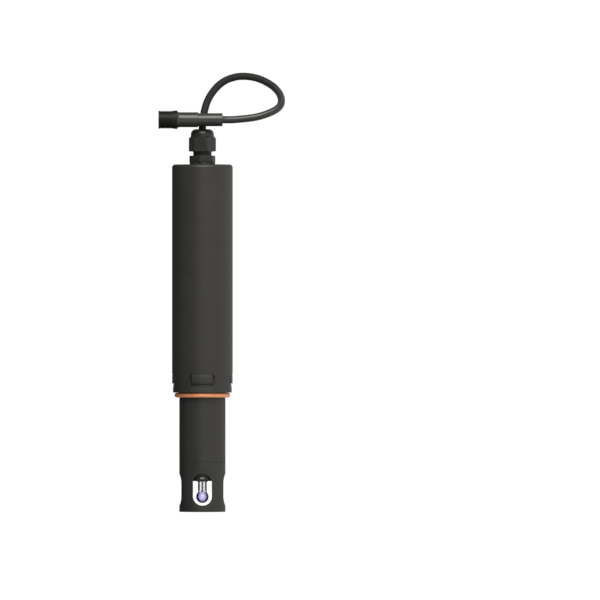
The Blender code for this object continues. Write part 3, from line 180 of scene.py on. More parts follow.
PROBE_MIDDLE = (0.0, 0.0, 0.02)
GLAND_FOOT = (0.0, 0.15, 0.03)
add_panel("wide_panel", (0.8, 0.0, 2.0), PROBE_MIDDLE, 3.0, 3.0, 22.5)
add_panel("side_panel", (2.0, 0.0, 0.6), PROBE_MIDDLE, 3.0, 1.2, 9.0)
add_panel("end_panel", (0.1, 1.84, 1.44), GLAND_FOOT, 1.6, 1.78, 73.0)

WORLD_COLOUR = (0.95, 0.97, 1.0, 1.0)
WORLD_LIGHT = 0.38

world = bpy.data.worlds.new("studio")
world.use_nodes = True
world_thrown = world.node_tree.nodes["Background"]
world_thrown.inputs["Color"].default_value = WORLD_COLOUR
world_thrown.inputs["Strength"].default_value = WORLD_LIGHT
world_seen = world.node_tree.nodes.new("ShaderNodeBackground")
world_seen.inputs["Color"].default_value = (1.0, 1.0, 1.0, 1.0)
world_seen.inputs["Strength"].default_value = WHITE_SEEN
seen_and_thrown(world.node_tree, world_seen, world_thrown,
                world.node_tree.nodes["World Output"])
bpy.context.scene.world = world

# %% [markdown]
# ## Shaping tools
# Nearly all of the probe is turned or moulded round an axis. An outline of (radius, height) points
# is spun round Z. A cut is a Boolean, worked into the mesh at once, and the sharp edges that it
# leaves are rounded with a bevel.

# %% Shaping tools
TURNED_SIDES = 72
SLOT_SIDES = 48
BEVEL_STEPS = 3
MERGE_DISTANCE = 0.0005


def arc(centre, radius, start, end, steps):
    """Points (radius, height) along an arc, with angles in degrees from straight outward."""
    points = []
    for index in range(steps + 1):
        angle = math.radians(start + (end - start) * index / steps)
        points.append((centre[0] + radius * math.cos(angle),
                       centre[1] + radius * math.sin(angle)))
    return points


def turned(outline, sides=TURNED_SIDES):
    """Spins an outline round Z. One that starts off the axis is closed into a ring."""
    bm = bmesh.new()
    half_facet = math.pi / sides
    verts = []
    for radius, height in outline:
        verts.append(bm.verts.new((radius * math.cos(half_facet), radius * math.sin(half_facet),
                                   height)))
    edges = [bm.edges.new(pair) for pair in zip(verts, verts[1:])]
    if outline[0][0] > 0.0:
        edges.append(bm.edges.new((verts[-1], verts[0])))
    bmesh.ops.spin(bm, geom=verts + edges, cent=(0.0, 0.0, 0.0), axis=(0.0, 0.0, 1.0),
                   angle=2.0 * math.pi, steps=sides, use_merge=True)
    bmesh.ops.remove_doubles(bm, verts=bm.verts, dist=MERGE_DISTANCE)
    bmesh.ops.recalc_face_normals(bm, faces=bm.faces)
    return bm


def box(low, high):
    """A box between two corners."""
    bm = bmesh.new()
    bmesh.ops.create_cube(bm, size=1.0)
    bmesh.ops.scale(bm, vec=Vector(high) - Vector(low), verts=bm.verts)
    bmesh.ops.translate(bm, vec=(Vector(high) + Vector(low)) / 2.0, verts=bm.verts)
    return bm


def spun(bm, angle, axis):
    """Turns a bmesh round an axis through the origin."""
    bmesh.ops.rotate(bm, cent=(0.0, 0.0, 0.0), matrix=Matrix.Rotation(angle, 3, axis),
                     verts=bm.verts)
    return bm


def shifted(bm, offset):
    """Moves a bmesh."""
    bmesh.ops.translate(bm, vec=offset, verts=bm.verts)
    return bm


def extruded(bm, offset):
    """Grows a flat shape into a prism."""
    grown = bmesh.ops.extrude_face_region(bm, geom=bm.faces[:])
    top = [item for item in grown["geom"] if isinstance(item, bmesh.types.BMVert)]
    bmesh.ops.translate(bm, vec=offset, verts=top)
    bmesh.ops.recalc_face_normals(bm, faces=bm.faces)
    return bm


def slot_prism(width, low, high, near, far):
    """A prism along Y whose section is an upright slot with round ends."""
    bm = bmesh.new()
    bmesh.ops.create_circle(bm, cap_ends=True, segments=SLOT_SIDES, radius=width / 2.0)
    spun(bm, math.pi / 2.0, "X")
    upper = [vert for vert in bm.verts if vert.co.z > 0.001]
    bmesh.ops.translate(bm, vec=(0.0, 0.0, high - low - width), verts=upper)
    shifted(bm, (0.0, near, low + width / 2.0))
    return extruded(bm, (0.0, far - near, 0.0))


def hexagon(across_flats, start, end, turn):
    """A hexagonal prism with its first corner turned from -Y towards +X."""
    bm = bmesh.new()
    bmesh.ops.create_circle(bm, cap_ends=True, segments=6, radius=across_flats / math.sqrt(3.0))
    corner = bm.verts[:][0].co
    spun(bm, turn - math.pi / 2.0 - math.atan2(corner.y, corner.x), "Z")
    shifted(bm, (0.0, 0.0, start))
    return extruded(bm, (0.0, 0.0, end - start))


def worked(bm, operation, tool):
    """Works a Boolean into a bmesh and returns the new one."""
    objects = []
    for part in (bm, tool):
        mesh = bpy.data.meshes.new("work")
        part.to_mesh(mesh)
        part.free()
        work = bpy.data.objects.new("work", mesh)
        bpy.context.scene.collection.objects.link(work)
        objects.append(work)
    boolean = objects[0].modifiers.new("cut", "BOOLEAN")
    boolean.operation = operation
    boolean.solver = "EXACT"
    boolean.object = objects[1]
    bpy.context.view_layer.update()
    evaluated = objects[0].evaluated_get(bpy.context.evaluated_depsgraph_get())
    result = bmesh.new()
    result.from_mesh(evaluated.to_mesh())
    evaluated.to_mesh_clear()
    for work in objects:
        mesh = work.data
        bpy.data.objects.remove(work, do_unlink=True)
        bpy.data.meshes.remove(mesh)
    bmesh.ops.remove_doubles(result, verts=result.verts, dist=MERGE_DISTANCE)
    return result


def softened(bm, width, limit, wanted=None):
    """Rounds the edges sharper than a limit in degrees, or only those that a test picks."""
    edges = []
    for edge in bm.edges:
        if not edge.is_manifold or edge.calc_face_angle(0.0) < math.radians(limit):
            continue
        middle = (edge.verts[0].co + edge.verts[1].co) / 2.0
        if wanted is None or wanted(middle):
            edges.append(edge)
    bmesh.ops.bevel(bm, geom=edges, offset=width, offset_type="OFFSET", segments=BEVEL_STEPS,
                    profile=0.5, affect="EDGES", clamp_overlap=True, material=-1)
    return bm


# %% [markdown]
# ## Finishes
# Three shader groups are shared. Moulded grain gives the fine eroded texture that steel moulds
# leave on plastic, with a slow drift in tone and gloss. Drawn streaks run along metal rods and
# wires. Speckle gives ceramic and laminate their grains. Numbers that are the same all over a
# surface stay on each shader's own sockets. A noise seldom leaves its middle range, so only that
# range is spread over the tones.

# %% Group tools
def new_group(name, inputs, outputs):
    """An empty shader group with its sockets, and its two end nodes."""
    group = bpy.data.node_groups.new(name, "ShaderNodeTree")
    for title, kind, value in inputs:
        socket = group.interface.new_socket(title, in_out="INPUT", socket_type=kind)
        socket.default_value = value
    for title, kind in outputs:
        group.interface.new_socket(title, in_out="OUTPUT", socket_type=kind)
    return group, group.nodes.new("NodeGroupInput"), group.nodes.new("NodeGroupOutput")


def noise(tree, coordinates, scale, detail):
    """A noise texture on given coordinates."""
    node = tree.nodes.new("ShaderNodeTexNoise")
    node.inputs["Scale"].default_value = scale
    node.inputs["Detail"].default_value = detail
    link(tree, coordinates, node.inputs["Vector"])
    return node


NOISE_SPAN = (0.3, 0.7)


def remapped(tree, value, low, high, span=NOISE_SPAN):
    """Maps a span of a value to a range. Low and high may be numbers or sockets."""
    node = tree.nodes.new("ShaderNodeMapRange")
    node.inputs["From Min"].default_value = span[0]
    node.inputs["From Max"].default_value = span[1]
    for title, end in (("To Min", low), ("To Max", high)):
        if isinstance(end, float):
            node.inputs[title].default_value = end
        else:
            link(tree, end, node.inputs[title])
    link(tree, value, node.inputs["Value"])
    return node.outputs["Result"]


def tinted(tree, colour, factor):
    """Multiplies a colour by a grey factor."""
    scale = tree.nodes.new("ShaderNodeVectorMath")
    scale.operation = "SCALE"
    link(tree, colour, scale.inputs[0])
    link(tree, factor, scale.inputs["Scale"])
    return scale.outputs[0]


# %% Moulded grain
FINE_GRAIN = 3500.0
FINE_DEPTH = 0.00001
SLOW_DRIFT = 45.0
DRIFT_TONES = (0.94, 1.06)

grain_group, grain_in, grain_out = new_group(
    "moulded_grain",
    [("Colour", "NodeSocketColor", (0.5, 0.5, 0.5, 1.0)), ("Gloss low", "NodeSocketFloat", 0.4),
     ("Gloss high", "NodeSocketFloat", 0.5), ("Grain size", "NodeSocketFloat", FINE_GRAIN),
     ("Grain depth", "NodeSocketFloat", FINE_DEPTH)],
    [("Colour", "NodeSocketColor"), ("Roughness", "NodeSocketFloat"),
     ("Normal", "NodeSocketVector")])
grain_place = grain_group.nodes.new("ShaderNodeTexCoord").outputs["Object"]
grain_fine = noise(grain_group, grain_place, FINE_GRAIN, 3.0)
link(grain_group, grain_in.outputs["Grain size"], grain_fine.inputs["Scale"])
grain_slow = noise(grain_group, grain_place, SLOW_DRIFT, 4.0)
grain_bump = grain_group.nodes.new("ShaderNodeBump")
grain_bump.inputs["Strength"].default_value = 1.0
link(grain_group, grain_in.outputs["Grain depth"], grain_bump.inputs["Distance"])
link(grain_group, grain_fine.outputs["Fac"], grain_bump.inputs["Height"])
link(grain_group, grain_bump.outputs["Normal"], grain_out.inputs["Normal"])
grain_gloss = remapped(grain_group, grain_slow.outputs["Fac"], grain_in.outputs["Gloss low"],
                       grain_in.outputs["Gloss high"])
link(grain_group, grain_gloss, grain_out.inputs["Roughness"])
grain_tone = remapped(grain_group, grain_slow.outputs["Fac"], *DRIFT_TONES)
link(grain_group, tinted(grain_group, grain_in.outputs["Colour"], grain_tone),
     grain_out.inputs["Colour"])

# %% Drawn streaks
STREAK_STRETCH = (1.0, 0.04, 1.0)
STREAK_FINENESS = 9000.0
STREAK_TONES = (0.85, 1.1)
STREAK_DEPTH = 0.000004

streak_group, streak_in, streak_out = new_group(
    "drawn_streaks",
    [("Colour", "NodeSocketColor", (0.6, 0.6, 0.6, 1.0)), ("Gloss low", "NodeSocketFloat", 0.2),
     ("Gloss high", "NodeSocketFloat", 0.4)],
    [("Colour", "NodeSocketColor"), ("Roughness", "NodeSocketFloat"),
     ("Normal", "NodeSocketVector")])
streak_place = streak_group.nodes.new("ShaderNodeTexCoord").outputs["Object"]
streak_map = streak_group.nodes.new("ShaderNodeMapping")
streak_map.inputs["Scale"].default_value = STREAK_STRETCH
link(streak_group, streak_place, streak_map.inputs["Vector"])
streak_noise = noise(streak_group, streak_map.outputs["Vector"], STREAK_FINENESS, 3.0)
streak_gloss = remapped(streak_group, streak_noise.outputs["Fac"],
                        streak_in.outputs["Gloss low"], streak_in.outputs["Gloss high"])
link(streak_group, streak_gloss, streak_out.inputs["Roughness"])
streak_tone = remapped(streak_group, streak_noise.outputs["Fac"], *STREAK_TONES)
link(streak_group, tinted(streak_group, streak_in.outputs["Colour"], streak_tone),
     streak_out.inputs["Colour"])
streak_bump = streak_group.nodes.new("ShaderNodeBump")
streak_bump.inputs["Distance"].default_value = STREAK_DEPTH
link(streak_group, streak_noise.outputs["Fac"], streak_bump.inputs["Height"])
link(streak_group, streak_bump.outputs["Normal"], streak_out.inputs["Normal"])

# %% Speckle
SPECKLE_REACH = 0.8
PALE_GRAIN = 1.05
SPECKLE_DEPTH = 0.00002

speckle_group, speckle_in, speckle_out = new_group(
    "speckle",
    [("Colour", "NodeSocketColor", (0.6, 0.6, 0.6, 1.0)), ("Grains", "NodeSocketFloat", 6000.0),
     ("Dark grain", "NodeSocketFloat", 0.7)],
    [("Colour", "NodeSocketColor"), ("Normal", "NodeSocketVector")])
speckle_place = speckle_group.nodes.new("ShaderNodeTexCoord").outputs["Object"]
speckle_cells = speckle_group.nodes.new("ShaderNodeTexVoronoi")
link(speckle_group, speckle_place, speckle_cells.inputs["Vector"])
link(speckle_group, speckle_in.outputs["Grains"], speckle_cells.inputs["Scale"])
speckle_tone = speckle_group.nodes.new("ShaderNodeMapRange")
speckle_tone.inputs["From Max"].default_value = SPECKLE_REACH
speckle_tone.inputs["To Min"].default_value = PALE_GRAIN
link(speckle_group, speckle_cells.outputs["Distance"], speckle_tone.inputs["Value"])
link(speckle_group, speckle_in.outputs["Dark grain"], speckle_tone.inputs["To Max"])
link(speckle_group, tinted(speckle_group, speckle_in.outputs["Colour"],
                           speckle_tone.outputs["Result"]), speckle_out.inputs["Colour"])
speckle_bump = speckle_group.nodes.new("ShaderNodeBump")
speckle_bump.inputs["Distance"].default_value = SPECKLE_DEPTH
link(speckle_group, speckle_cells.outputs["Distance"], speckle_bump.inputs["Height"])
link(speckle_group, speckle_bump.outputs["Normal"], speckle_out.inputs["Normal"])

# %% [markdown]
# The black pieces are not all one black. The housing, the cartridge and the guard are an even matt
# moulding, the gland is a slightly glossier nylon, the connector's sleeves are shiny overmoulded
# rubber and its coupling ring is dull. Each gets its own values in the same group. The silver wire
# has a dull dark coat of its chloride, so it is finished like a moulding and not like a metal.

# %% Finish makers
def new_finish(name):
    """A material with its Principled shader."""
    finish = bpy.data.materials.new(name + "_finish")
    finish.use_nodes = True
    return finish, finish.node_tree, finish.node_tree.nodes["Principled BSDF"]


def place_group(tree, group, shader, values):
    """Puts a shared group in a material with its values, and feeds the shader from it."""
    node = tree.nodes.new("ShaderNodeGroup")
    node.node_tree = group
    for title, value in values.items():
        node.inputs[title].default_value = value
    for title, socket in (("Colour", "Base Color"), ("Roughness", "Roughness"),
                          ("Normal", "Normal")):
        if title in node.outputs:
            link(tree, node.outputs[title], shader.inputs[socket])


def moulded(name, colour, gloss, grain=FINE_GRAIN, depth=FINE_DEPTH, specular=0.5):
    """A moulded plastic or rubber."""
    finish, tree, shader = new_finish(name)
    shader.inputs["Specular IOR Level"].default_value = specular
    place_group(tree, grain_group, shader, {
        "Colour": (*colour, 1.0), "Gloss low": gloss[0], "Gloss high": gloss[1],
        "Grain size": grain, "Grain depth": depth})
    return finish


def drawn_metal(name, colour, gloss):
    """A drawn or plated metal."""
    finish, tree, shader = new_finish(name)
    shader.inputs["Metallic"].default_value = 1.0
    place_group(tree, streak_group, shader, {
        "Colour": (*colour, 1.0), "Gloss low": gloss[0], "Gloss high": gloss[1]})
    return finish


def grained(name, colour, grains, dark, roughness):
    """A ceramic or laminate with visible grains."""
    finish, tree, shader = new_finish(name)
    shader.inputs["Roughness"].default_value = roughness
    place_group(tree, speckle_group, shader, {
        "Colour": (*colour, 1.0), "Grains": grains, "Dark grain": dark})
    return finish


# %% The finishes
black_moulding = moulded("black_moulding", (0.019, 0.0184, 0.0162), (0.38, 0.44),
                         grain=3200.0, depth=0.000006, specular=0.3)
gland_nylon = moulded("gland_nylon", (0.013, 0.0132, 0.0118), (0.26, 0.31),
                      grain=5000.0, depth=0.000003, specular=0.3)
sleeve_rubber = moulded("sleeve_rubber", (0.0195, 0.0198, 0.0178), (0.19, 0.23),
                        grain=6000.0, depth=0.000001, specular=0.37)
coupling_nylon = moulded("coupling_nylon", (0.0075, 0.0075, 0.007), (0.38, 0.44),
                         grain=4500.0, depth=0.000002, specular=0.14)
cable_jacket = moulded("cable_jacket", (0.0115, 0.0115, 0.0108), (0.3, 0.35),
                       grain=4000.0, depth=0.0000005)
black_rubber = moulded("black_rubber", (0.012, 0.012, 0.012), (0.6, 0.7), grain=4000.0)
orange_rubber = moulded("orange_rubber", (0.74, 0.285, 0.125), (0.24, 0.32),
                        grain=5000.0, depth=0.000002)
white_moulding = moulded("white_moulding", (0.72, 0.72, 0.69), (0.4, 0.5))
chip_resin = moulded("chip_resin", (0.02, 0.02, 0.021), (0.45, 0.55), grain=7000.0)
silver = drawn_metal("silver", (0.42, 0.41, 0.38), (0.3, 0.45))
chlorided_wire = moulded("chlorided_wire", (0.008, 0.008, 0.008), (0.6, 0.7),
                         grain=7000.0, depth=0.000004, specular=0.08)
gold = drawn_metal("gold", (0.86, 0.62, 0.26), (0.18, 0.3))
steel = drawn_metal("steel", (0.55, 0.55, 0.56), (0.25, 0.4))
# The ceramic's grey is painted shade: the pale ceramic is darkened for the shadow the junction
# lies in.
ceramic = grained("ceramic", (0.3, 0.3, 0.29), 7000.0, 0.7, 0.7)
laminate = grained("laminate", (0.02, 0.16, 0.07), 1500.0, 0.8, 0.35)
print("finishes:", sum(finish.name.endswith("_finish") for finish in bpy.data.materials))

# %% [markdown]
# The cable's jacket is dull along the half of its loop that leaves the gland and shiny along the
# half that comes back to the connector. A slanting line across the loop parts the two halves.
# Their roughness and shine take the place of the jacket's even ones, and the dull half is a little
# paler.

# %% Two halves of the jacket
ACROSS_THE_LOOP = (0.6, -1.0, 0.0)
DULL_TO_SHINY = (-0.1545, -0.149)
DULL_TONE = 1.35

jacket_tree = cable_jacket.node_tree
jacket_shader = jacket_tree.nodes["Principled BSDF"]
jacket_place = jacket_tree.nodes.new("ShaderNodeTexCoord")
jacket_across = jacket_tree.nodes.new("ShaderNodeVectorMath")
jacket_across.operation = "DOT_PRODUCT"
jacket_across.inputs[1].default_value = ACROSS_THE_LOOP
link(jacket_tree, jacket_place.outputs["Object"], jacket_across.inputs[0])
for title, dull, shiny in (("Roughness", 0.62, 0.32), ("Specular IOR Level", 0.1, 0.42)):
    link(jacket_tree, remapped(jacket_tree, jacket_across.outputs["Value"], dull, shiny,
                               DULL_TO_SHINY), jacket_shader.inputs[title])
jacket_tone = remapped(jacket_tree, jacket_across.outputs["Value"], DULL_TONE, 1.0,
                       DULL_TO_SHINY)
jacket_colour = jacket_shader.inputs["Base Color"].links[0].from_socket
link(jacket_tree, tinted(jacket_tree, jacket_colour, jacket_tone),
     jacket_shader.inputs["Base Color"])
print("jacket nodes:", len(jacket_tree.nodes))

# %% [markdown]
# The glass and the two fillings let light through. The bulb's glass is thin and clear. The buffer
# behind it is faintly violet. The glass's colour turns deep blue-violet at the bulb's rim and dark
# grey at the stem's walls: a painted dark rim, painted shade for the dark that curved glass shows
# at its edges. The rim's colour follows how steeply the glass turns away. Three short spans along
# the probe part the bulb's underside, painted pale as painted light from below, its rim, its neck
# and the grey-walled stem.

# %% Clear finishes
def clear(name, colour, refraction, roughness):
    """A clear glass, liquid or gel."""
    finish, tree, shader = new_finish(name)
    shader.inputs["Base Color"].default_value = (*colour, 1.0)
    shader.inputs["Transmission Weight"].default_value = 1.0
    shader.inputs["IOR"].default_value = refraction
    shader.inputs["Roughness"].default_value = roughness
    return finish


def painted_rim_ramp(finish, stops):
    """Painted rim shade: a colour that follows how steeply a clear finish turns away."""
    tree = finish.node_tree
    weight = tree.nodes.new("ShaderNodeLayerWeight")
    ramp = tree.nodes.new("ShaderNodeValToRGB")
    while len(ramp.color_ramp.elements) < len(stops):
        ramp.color_ramp.elements.new(0.5)
    for element, (spot, colour) in zip(ramp.color_ramp.elements, stops):
        element.position = spot
        element.color = (*colour, 1.0)
    link(tree, weight.outputs["Facing"], ramp.inputs["Fac"])
    return ramp.outputs["Color"]


def along_probe(finish, span, low, high):
    """Mixes two colours of a finish over a span of heights along the probe, in millimetres."""
    tree = finish.node_tree
    place = tree.nodes.new("ShaderNodeTexCoord")
    parts = tree.nodes.new("ShaderNodeSeparateXYZ")
    share = tree.nodes.new("ShaderNodeMapRange")
    mix = tree.nodes.new("ShaderNodeMix")
    mix.data_type = "RGBA"
    share.inputs["From Min"].default_value = (span[0] - PROBE_LENGTH / 2.0) * MM
    share.inputs["From Max"].default_value = (span[1] - PROBE_LENGTH / 2.0) * MM
    link(tree, place.outputs["Object"], parts.inputs[0])
    link(tree, parts.outputs["Y"], share.inputs["Value"])
    link(tree, share.outputs["Result"], mix.inputs["Factor"])
    for socket, colour in ((mix.inputs["A"], low), (mix.inputs["B"], high)):
        if isinstance(colour, tuple):
            socket.default_value = (*colour, 1.0)
        else:
            link(tree, colour, socket)
    return mix.outputs["Result"]


# Painted light: over the first span the bulb's underside is painted pale, as if lit from below.
PAINTED_LIGHT_UNDERSIDE = (6.6, 9.0)
SHOULDER = (13.5, 14.5)
NECK = (16.0, 17.5)
GLASS_REFRACTION = 1.45
LIQUID_REFRACTION = 1.33
LIQUID_TINT = (0.6, 0.57, 0.88)

clear_glass = clear("clear_glass", (0.97, 0.97, 1.0), GLASS_REFRACTION, 0.0)
glass_tree = clear_glass.node_tree
glass_shader = glass_tree.nodes["Principled BSDF"]
glass_shader.inputs["Specular IOR Level"].default_value = 0.1
# Painted shade: the glass turns near-black blue-violet, or grey on the stem, where it turns away.
bulb_painted_rim = painted_rim_ramp(clear_glass, [(0.0, (1.0, 1.0, 1.0)), (0.14, (0.85, 0.84, 0.96)),
                                  (0.23, (0.012, 0.008, 0.05)), (0.9, (0.01, 0.008, 0.04))])
neck_painted_rim = painted_rim_ramp(clear_glass, [(0.0, (1.0, 1.0, 1.0)), (0.3, (0.9, 0.89, 0.98)),
                                  (0.5, (0.012, 0.008, 0.05)), (0.9, (0.01, 0.008, 0.04))])
stem_painted_rim = painted_rim_ramp(clear_glass, [(0.0, (1.0, 1.0, 1.0)), (0.12, (0.98, 0.98, 0.99)),
                                  (0.21, (0.03, 0.03, 0.03)), (0.9, (0.02, 0.02, 0.02))])
bulb_colour = along_probe(clear_glass, PAINTED_LIGHT_UNDERSIDE, (0.8, 0.78, 0.97), bulb_painted_rim)
neck_colour = along_probe(clear_glass, SHOULDER, bulb_colour, neck_painted_rim)
link(glass_tree, along_probe(clear_glass, NECK, neck_colour, stem_painted_rim),
     glass_shader.inputs["Base Color"])

# The liquid's tint belongs to the bulb: in the narrow stem it looks colourless.
buffer_liquid = clear("buffer_liquid", LIQUID_TINT, LIQUID_REFRACTION, 0.0)
liquid_tree = buffer_liquid.node_tree
link(liquid_tree, along_probe(buffer_liquid, NECK, LIQUID_TINT, (0.99, 0.99, 1.0)),
     liquid_tree.nodes["Principled BSDF"].inputs["Base Color"])
reference_gel = clear("reference_gel", (0.9, 0.92, 0.9), 1.36, 0.25)
print("glass nodes:", len(glass_tree.nodes))

# %% [markdown]
# ## Finishing a piece
# One function lays a bmesh in place and shades it smooth with its real edges kept sharp. It also
# gives the piece its finish and its material slot, makes it ride on its CAD body and hides the
# CAD node it stands for.

# %% Finishing tool
SHARP_ANGLE = 32.0
QUARTER_TURN = math.pi / 2.0


def finished(name, bm, place, finish, node, body="probe"):
    """Turns a bmesh into a piece of the probe that stands for a CAD node."""
    bm.transform(place)
    mesh = bpy.data.meshes.new(name)
    bm.to_mesh(mesh)
    bm.free()
    mesh.shade_smooth()
    mesh.set_sharp_from_angle(angle=math.radians(SHARP_ANGLE))
    mesh.materials.append(finish)
    piece = bpy.data.objects.new(name, mesh)
    bpy.context.scene.collection.objects.link(piece)
    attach(piece, body)
    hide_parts(node)
    print(name, "has", len(mesh.polygons), "faces")
    return piece


# %% [markdown]
# ## The housing
# The housing is a moulded cup with a rounded top edge. Near its open end it has four shallow
# pockets, and in each a window that shows a latch. The cup is spun. A slice of a ring takes out
# the part of each pocket beside its latch. A slice of a wider ring makes the flat relief below it,
# which runs out into the wall without side walls. A box cuts each window. Only the edges near the
# pockets are rounded, and two extra rings of points above them keep their shading off the long
# wall.

# %% Housing
HOUSING_SIDES = 84
HOUSING_START = 95.4
HOUSING_END = 277.8
FOOT_FILLET = 0.4
TOP_FILLET = 2.4
POCKET_RADIUS = 23.5
POCKET_HALF = 10.4
POCKET_TOP = 108.6
RELIEF_TOP = 102.2
RELIEF_RADIUS = 35.9
RELIEF_SIDES = 180
RELIEF_HALF = 12.0
CUTTER_REACH = 30.0
CUTTER_LOW = 93.0
CUTTER_HIGH = 109.0
WINDOW_HALF = 8.95
WINDOW_LOW = 99.9
WINDOW_HIGH = 110.4
SHADING_FENCE = (111.5, 114.0)

cup = [(21.4, HOUSING_START), (HOUSING_RADIUS - FOOT_FILLET, HOUSING_START)]
cup += arc((HOUSING_RADIUS - FOOT_FILLET, HOUSING_START + FOOT_FILLET), FOOT_FILLET, -90.0, 0.0,
           4)[1:]
cup += [(HOUSING_RADIUS, height) for height in SHADING_FENCE]
cup += arc((HOUSING_RADIUS - TOP_FILLET, HOUSING_END - TOP_FILLET), TOP_FILLET, 0.0, 90.0, 12)
cup += [(7.9, HOUSING_END), (7.9, 272.8), (20.4, 272.8), (20.4, 147.7), (21.4, 147.7)]
housing_shape = turned(cup, HOUSING_SIDES)

pocket = worked(turned([(POCKET_RADIUS, RELIEF_TOP), (27.0, RELIEF_TOP), (27.0, POCKET_TOP),
                        (POCKET_RADIUS, POCKET_TOP)], HOUSING_SIDES),
                "INTERSECT", box((-POCKET_HALF, -CUTTER_REACH, CUTTER_LOW),
                                 (POCKET_HALF, 0.0, CUTTER_HIGH)))
relief = turned([(RELIEF_RADIUS, 94.0), (45.0, 94.0), (45.0, RELIEF_TOP),
                 (RELIEF_RADIUS, RELIEF_TOP)], RELIEF_SIDES)
relief = worked(shifted(relief, (0.0, RELIEF_RADIUS - POCKET_RADIUS, 0.0)),
                "INTERSECT", box((-RELIEF_HALF, -CUTTER_REACH, CUTTER_LOW),
                                 (RELIEF_HALF, 0.0, CUTTER_HIGH)))
window = box((-WINDOW_HALF, -CUTTER_REACH, WINDOW_LOW), (WINDOW_HALF, -12.0, WINDOW_HIGH))
for quarter in range(4):
    for tool in (pocket, relief, window):
        housing_shape = worked(housing_shape, "DIFFERENCE",
                               spun(tool.copy(), quarter * QUARTER_TURN, "Z"))
for tool in (pocket, relief, window):
    tool.free()
housing_shape = softened(
    housing_shape, 0.15, 35.0,
    lambda spot: 96.0 < spot.z < 110.2 and math.hypot(spot.x, spot.y) > 22.8)
finished("housing_skin", housing_shape, probe_frame, black_moulding, "housing")

# %% [markdown]
# ## The latches
# Each latch shows as a pad that stands in its window almost flush with the housing. The pad steps
# back a little at its upper end, which makes the shallow groove above it. Its lower end is square
# and throws a dark line on the low lip that fills the rest of the window. The spring strap and the
# hinge bead behind it follow the CAD shape.

# %% Latches
HINGE_HEIGHT = 130.5
PAD_HALF = 8.5
STRAP_HALF = 6.0
BEAD_RADIUS = 0.95

latch_outline = [(0.0, 100.1), (23.45, 100.1), (23.45, 101.3), (22.95, 101.9), (22.95, 102.6),
                 (24.2, 102.6), (24.2, 109.3), (24.0, 109.8), (24.0, 110.32), (0.0, 110.32)]
latch_shape = worked(turned(latch_outline, HOUSING_SIDES), "INTERSECT",
                     box((-PAD_HALF, -CUTTER_REACH, 99.0), (PAD_HALF, -18.6, 111.0)))
latch_shape = softened(latch_shape, 0.15, 25.0,
                       lambda spot: math.hypot(spot.x, spot.y) > 23.8 and spot.z < 109.0)
strap = box((-STRAP_HALF, -20.1, 101.6), (STRAP_HALF, -18.6, HINGE_HEIGHT))
latch_shape = worked(latch_shape, "UNION", strap)
bead = turned([(0.0, -STRAP_HALF), (BEAD_RADIUS, -STRAP_HALF), (BEAD_RADIUS, STRAP_HALF),
               (0.0, STRAP_HALF)], 24)
bead = shifted(spun(bead, QUARTER_TURN, "Y"), (0.0, -19.35, HINGE_HEIGHT))
latch_shape = worked(latch_shape, "UNION", bead)
for quarter, side in enumerate(("front", "right", "back", "left")):
    finished("latch_" + side + "_skin", spun(latch_shape.copy(), quarter * QUARTER_TURN, "Z"),
             probe_frame, black_moulding, "latch_arm_" + side, "latch_" + side)
latch_shape.free()

# %% [markdown]
# ## The mounting O-ring
# A plain torus of orange rubber: a circle spun round the probe's axis.

# %% Mounting O-ring
ring_section = arc((20.4, 93.3), 1.9, 0.0, 360.0, 28)[:-1]
finished("mounting_ring_skin", turned(ring_section, 96), probe_frame, orange_rubber,
         "mounting_o_ring")

# %% [markdown]
# ## The cartridge
# Below the housing comes the slimmer electrode cartridge. Its lower end is a spigot, hidden in the
# guard except for its end face and the curved wall round it, where the pale ceramic junction sits.

# %% Cartridge
cartridge = [(4.9, 24.7), (14.6, 24.7), (15.0, 25.1), (15.0, 39.9), (18.35, 39.9), (18.5, 40.05),
             (18.5, 90.8), (18.2, 90.8), (18.2, 95.0), (18.5, 95.0), (18.5, 95.7), (21.1, 95.7),
             (21.1, 97.9), (20.8, 98.2), (15.0, 98.2), (15.0, 140.0), (12.5, 140.0), (12.5, 26.0),
             (6.8, 26.0), (6.8, 30.8), (4.9, 30.8)]
JUNCTION_HEIGHT = 27.0
junction_hole = spun(slot_prism(1.8, -1.75, 1.75, -18.0, -11.0), QUARTER_TURN, "Y")
cartridge_shape = worked(turned(cartridge), "DIFFERENCE",
                         shifted(junction_hole, (0.0, 0.0, JUNCTION_HEIGHT)))
finished("cartridge_skin", cartridge_shape, probe_frame, black_moulding, "cartridge_body")

# The junction's ceramic finish is painted darker, as painted shade.
junction_shape = spun(slot_prism(1.7, -1.7, 1.7, -14.9, -12.5), QUARTER_TURN, "Y")
junction_shape = softened(shifted(junction_shape, (0.0, 0.0, JUNCTION_HEIGHT)), 0.3, 50.0)
finished("junction_skin", junction_shape, probe_frame, ceramic, "ceramic_junction")

# %% [markdown]
# ## The tip guard
# The guard is a sleeve with four slots that let the sample reach the bulb. Two slot prisms cross
# right through it, and the slot edges and the open end's edges are rounded, as a moulding's are.

# %% Tip guard
guard_outline = [(15.3, 0.0), (18.5, 0.0), (18.5, 39.7), (18.35, 39.85), (15.3, 39.85)]
guard_shape = turned(guard_outline)
for turn in (0.0, QUARTER_TURN):
    slot = spun(slot_prism(15.4, 4.6, 30.6, -22.0, 22.0), turn, "Z")
    guard_shape = worked(guard_shape, "DIFFERENCE", slot)
guard_shape = softened(guard_shape, 0.4, 40.0, lambda spot: 1.0 < spot.z < 38.0)
guard_shape = softened(guard_shape, 0.25, 60.0, lambda spot: spot.z < 0.1)
finished("guard_skin", guard_shape, probe_frame, black_moulding, "tip_guard", "guard")

# %% [markdown]
# ## The glass
# The stem and the bulb are one blown piece with a thin wall. The wall's outline runs down the
# outside, round the bulb and back up the inside, and a small fillet joins the bulb to the stem.
# The liquid reaches a hair into the glass and into the wire, so that no film of air between them
# shines.

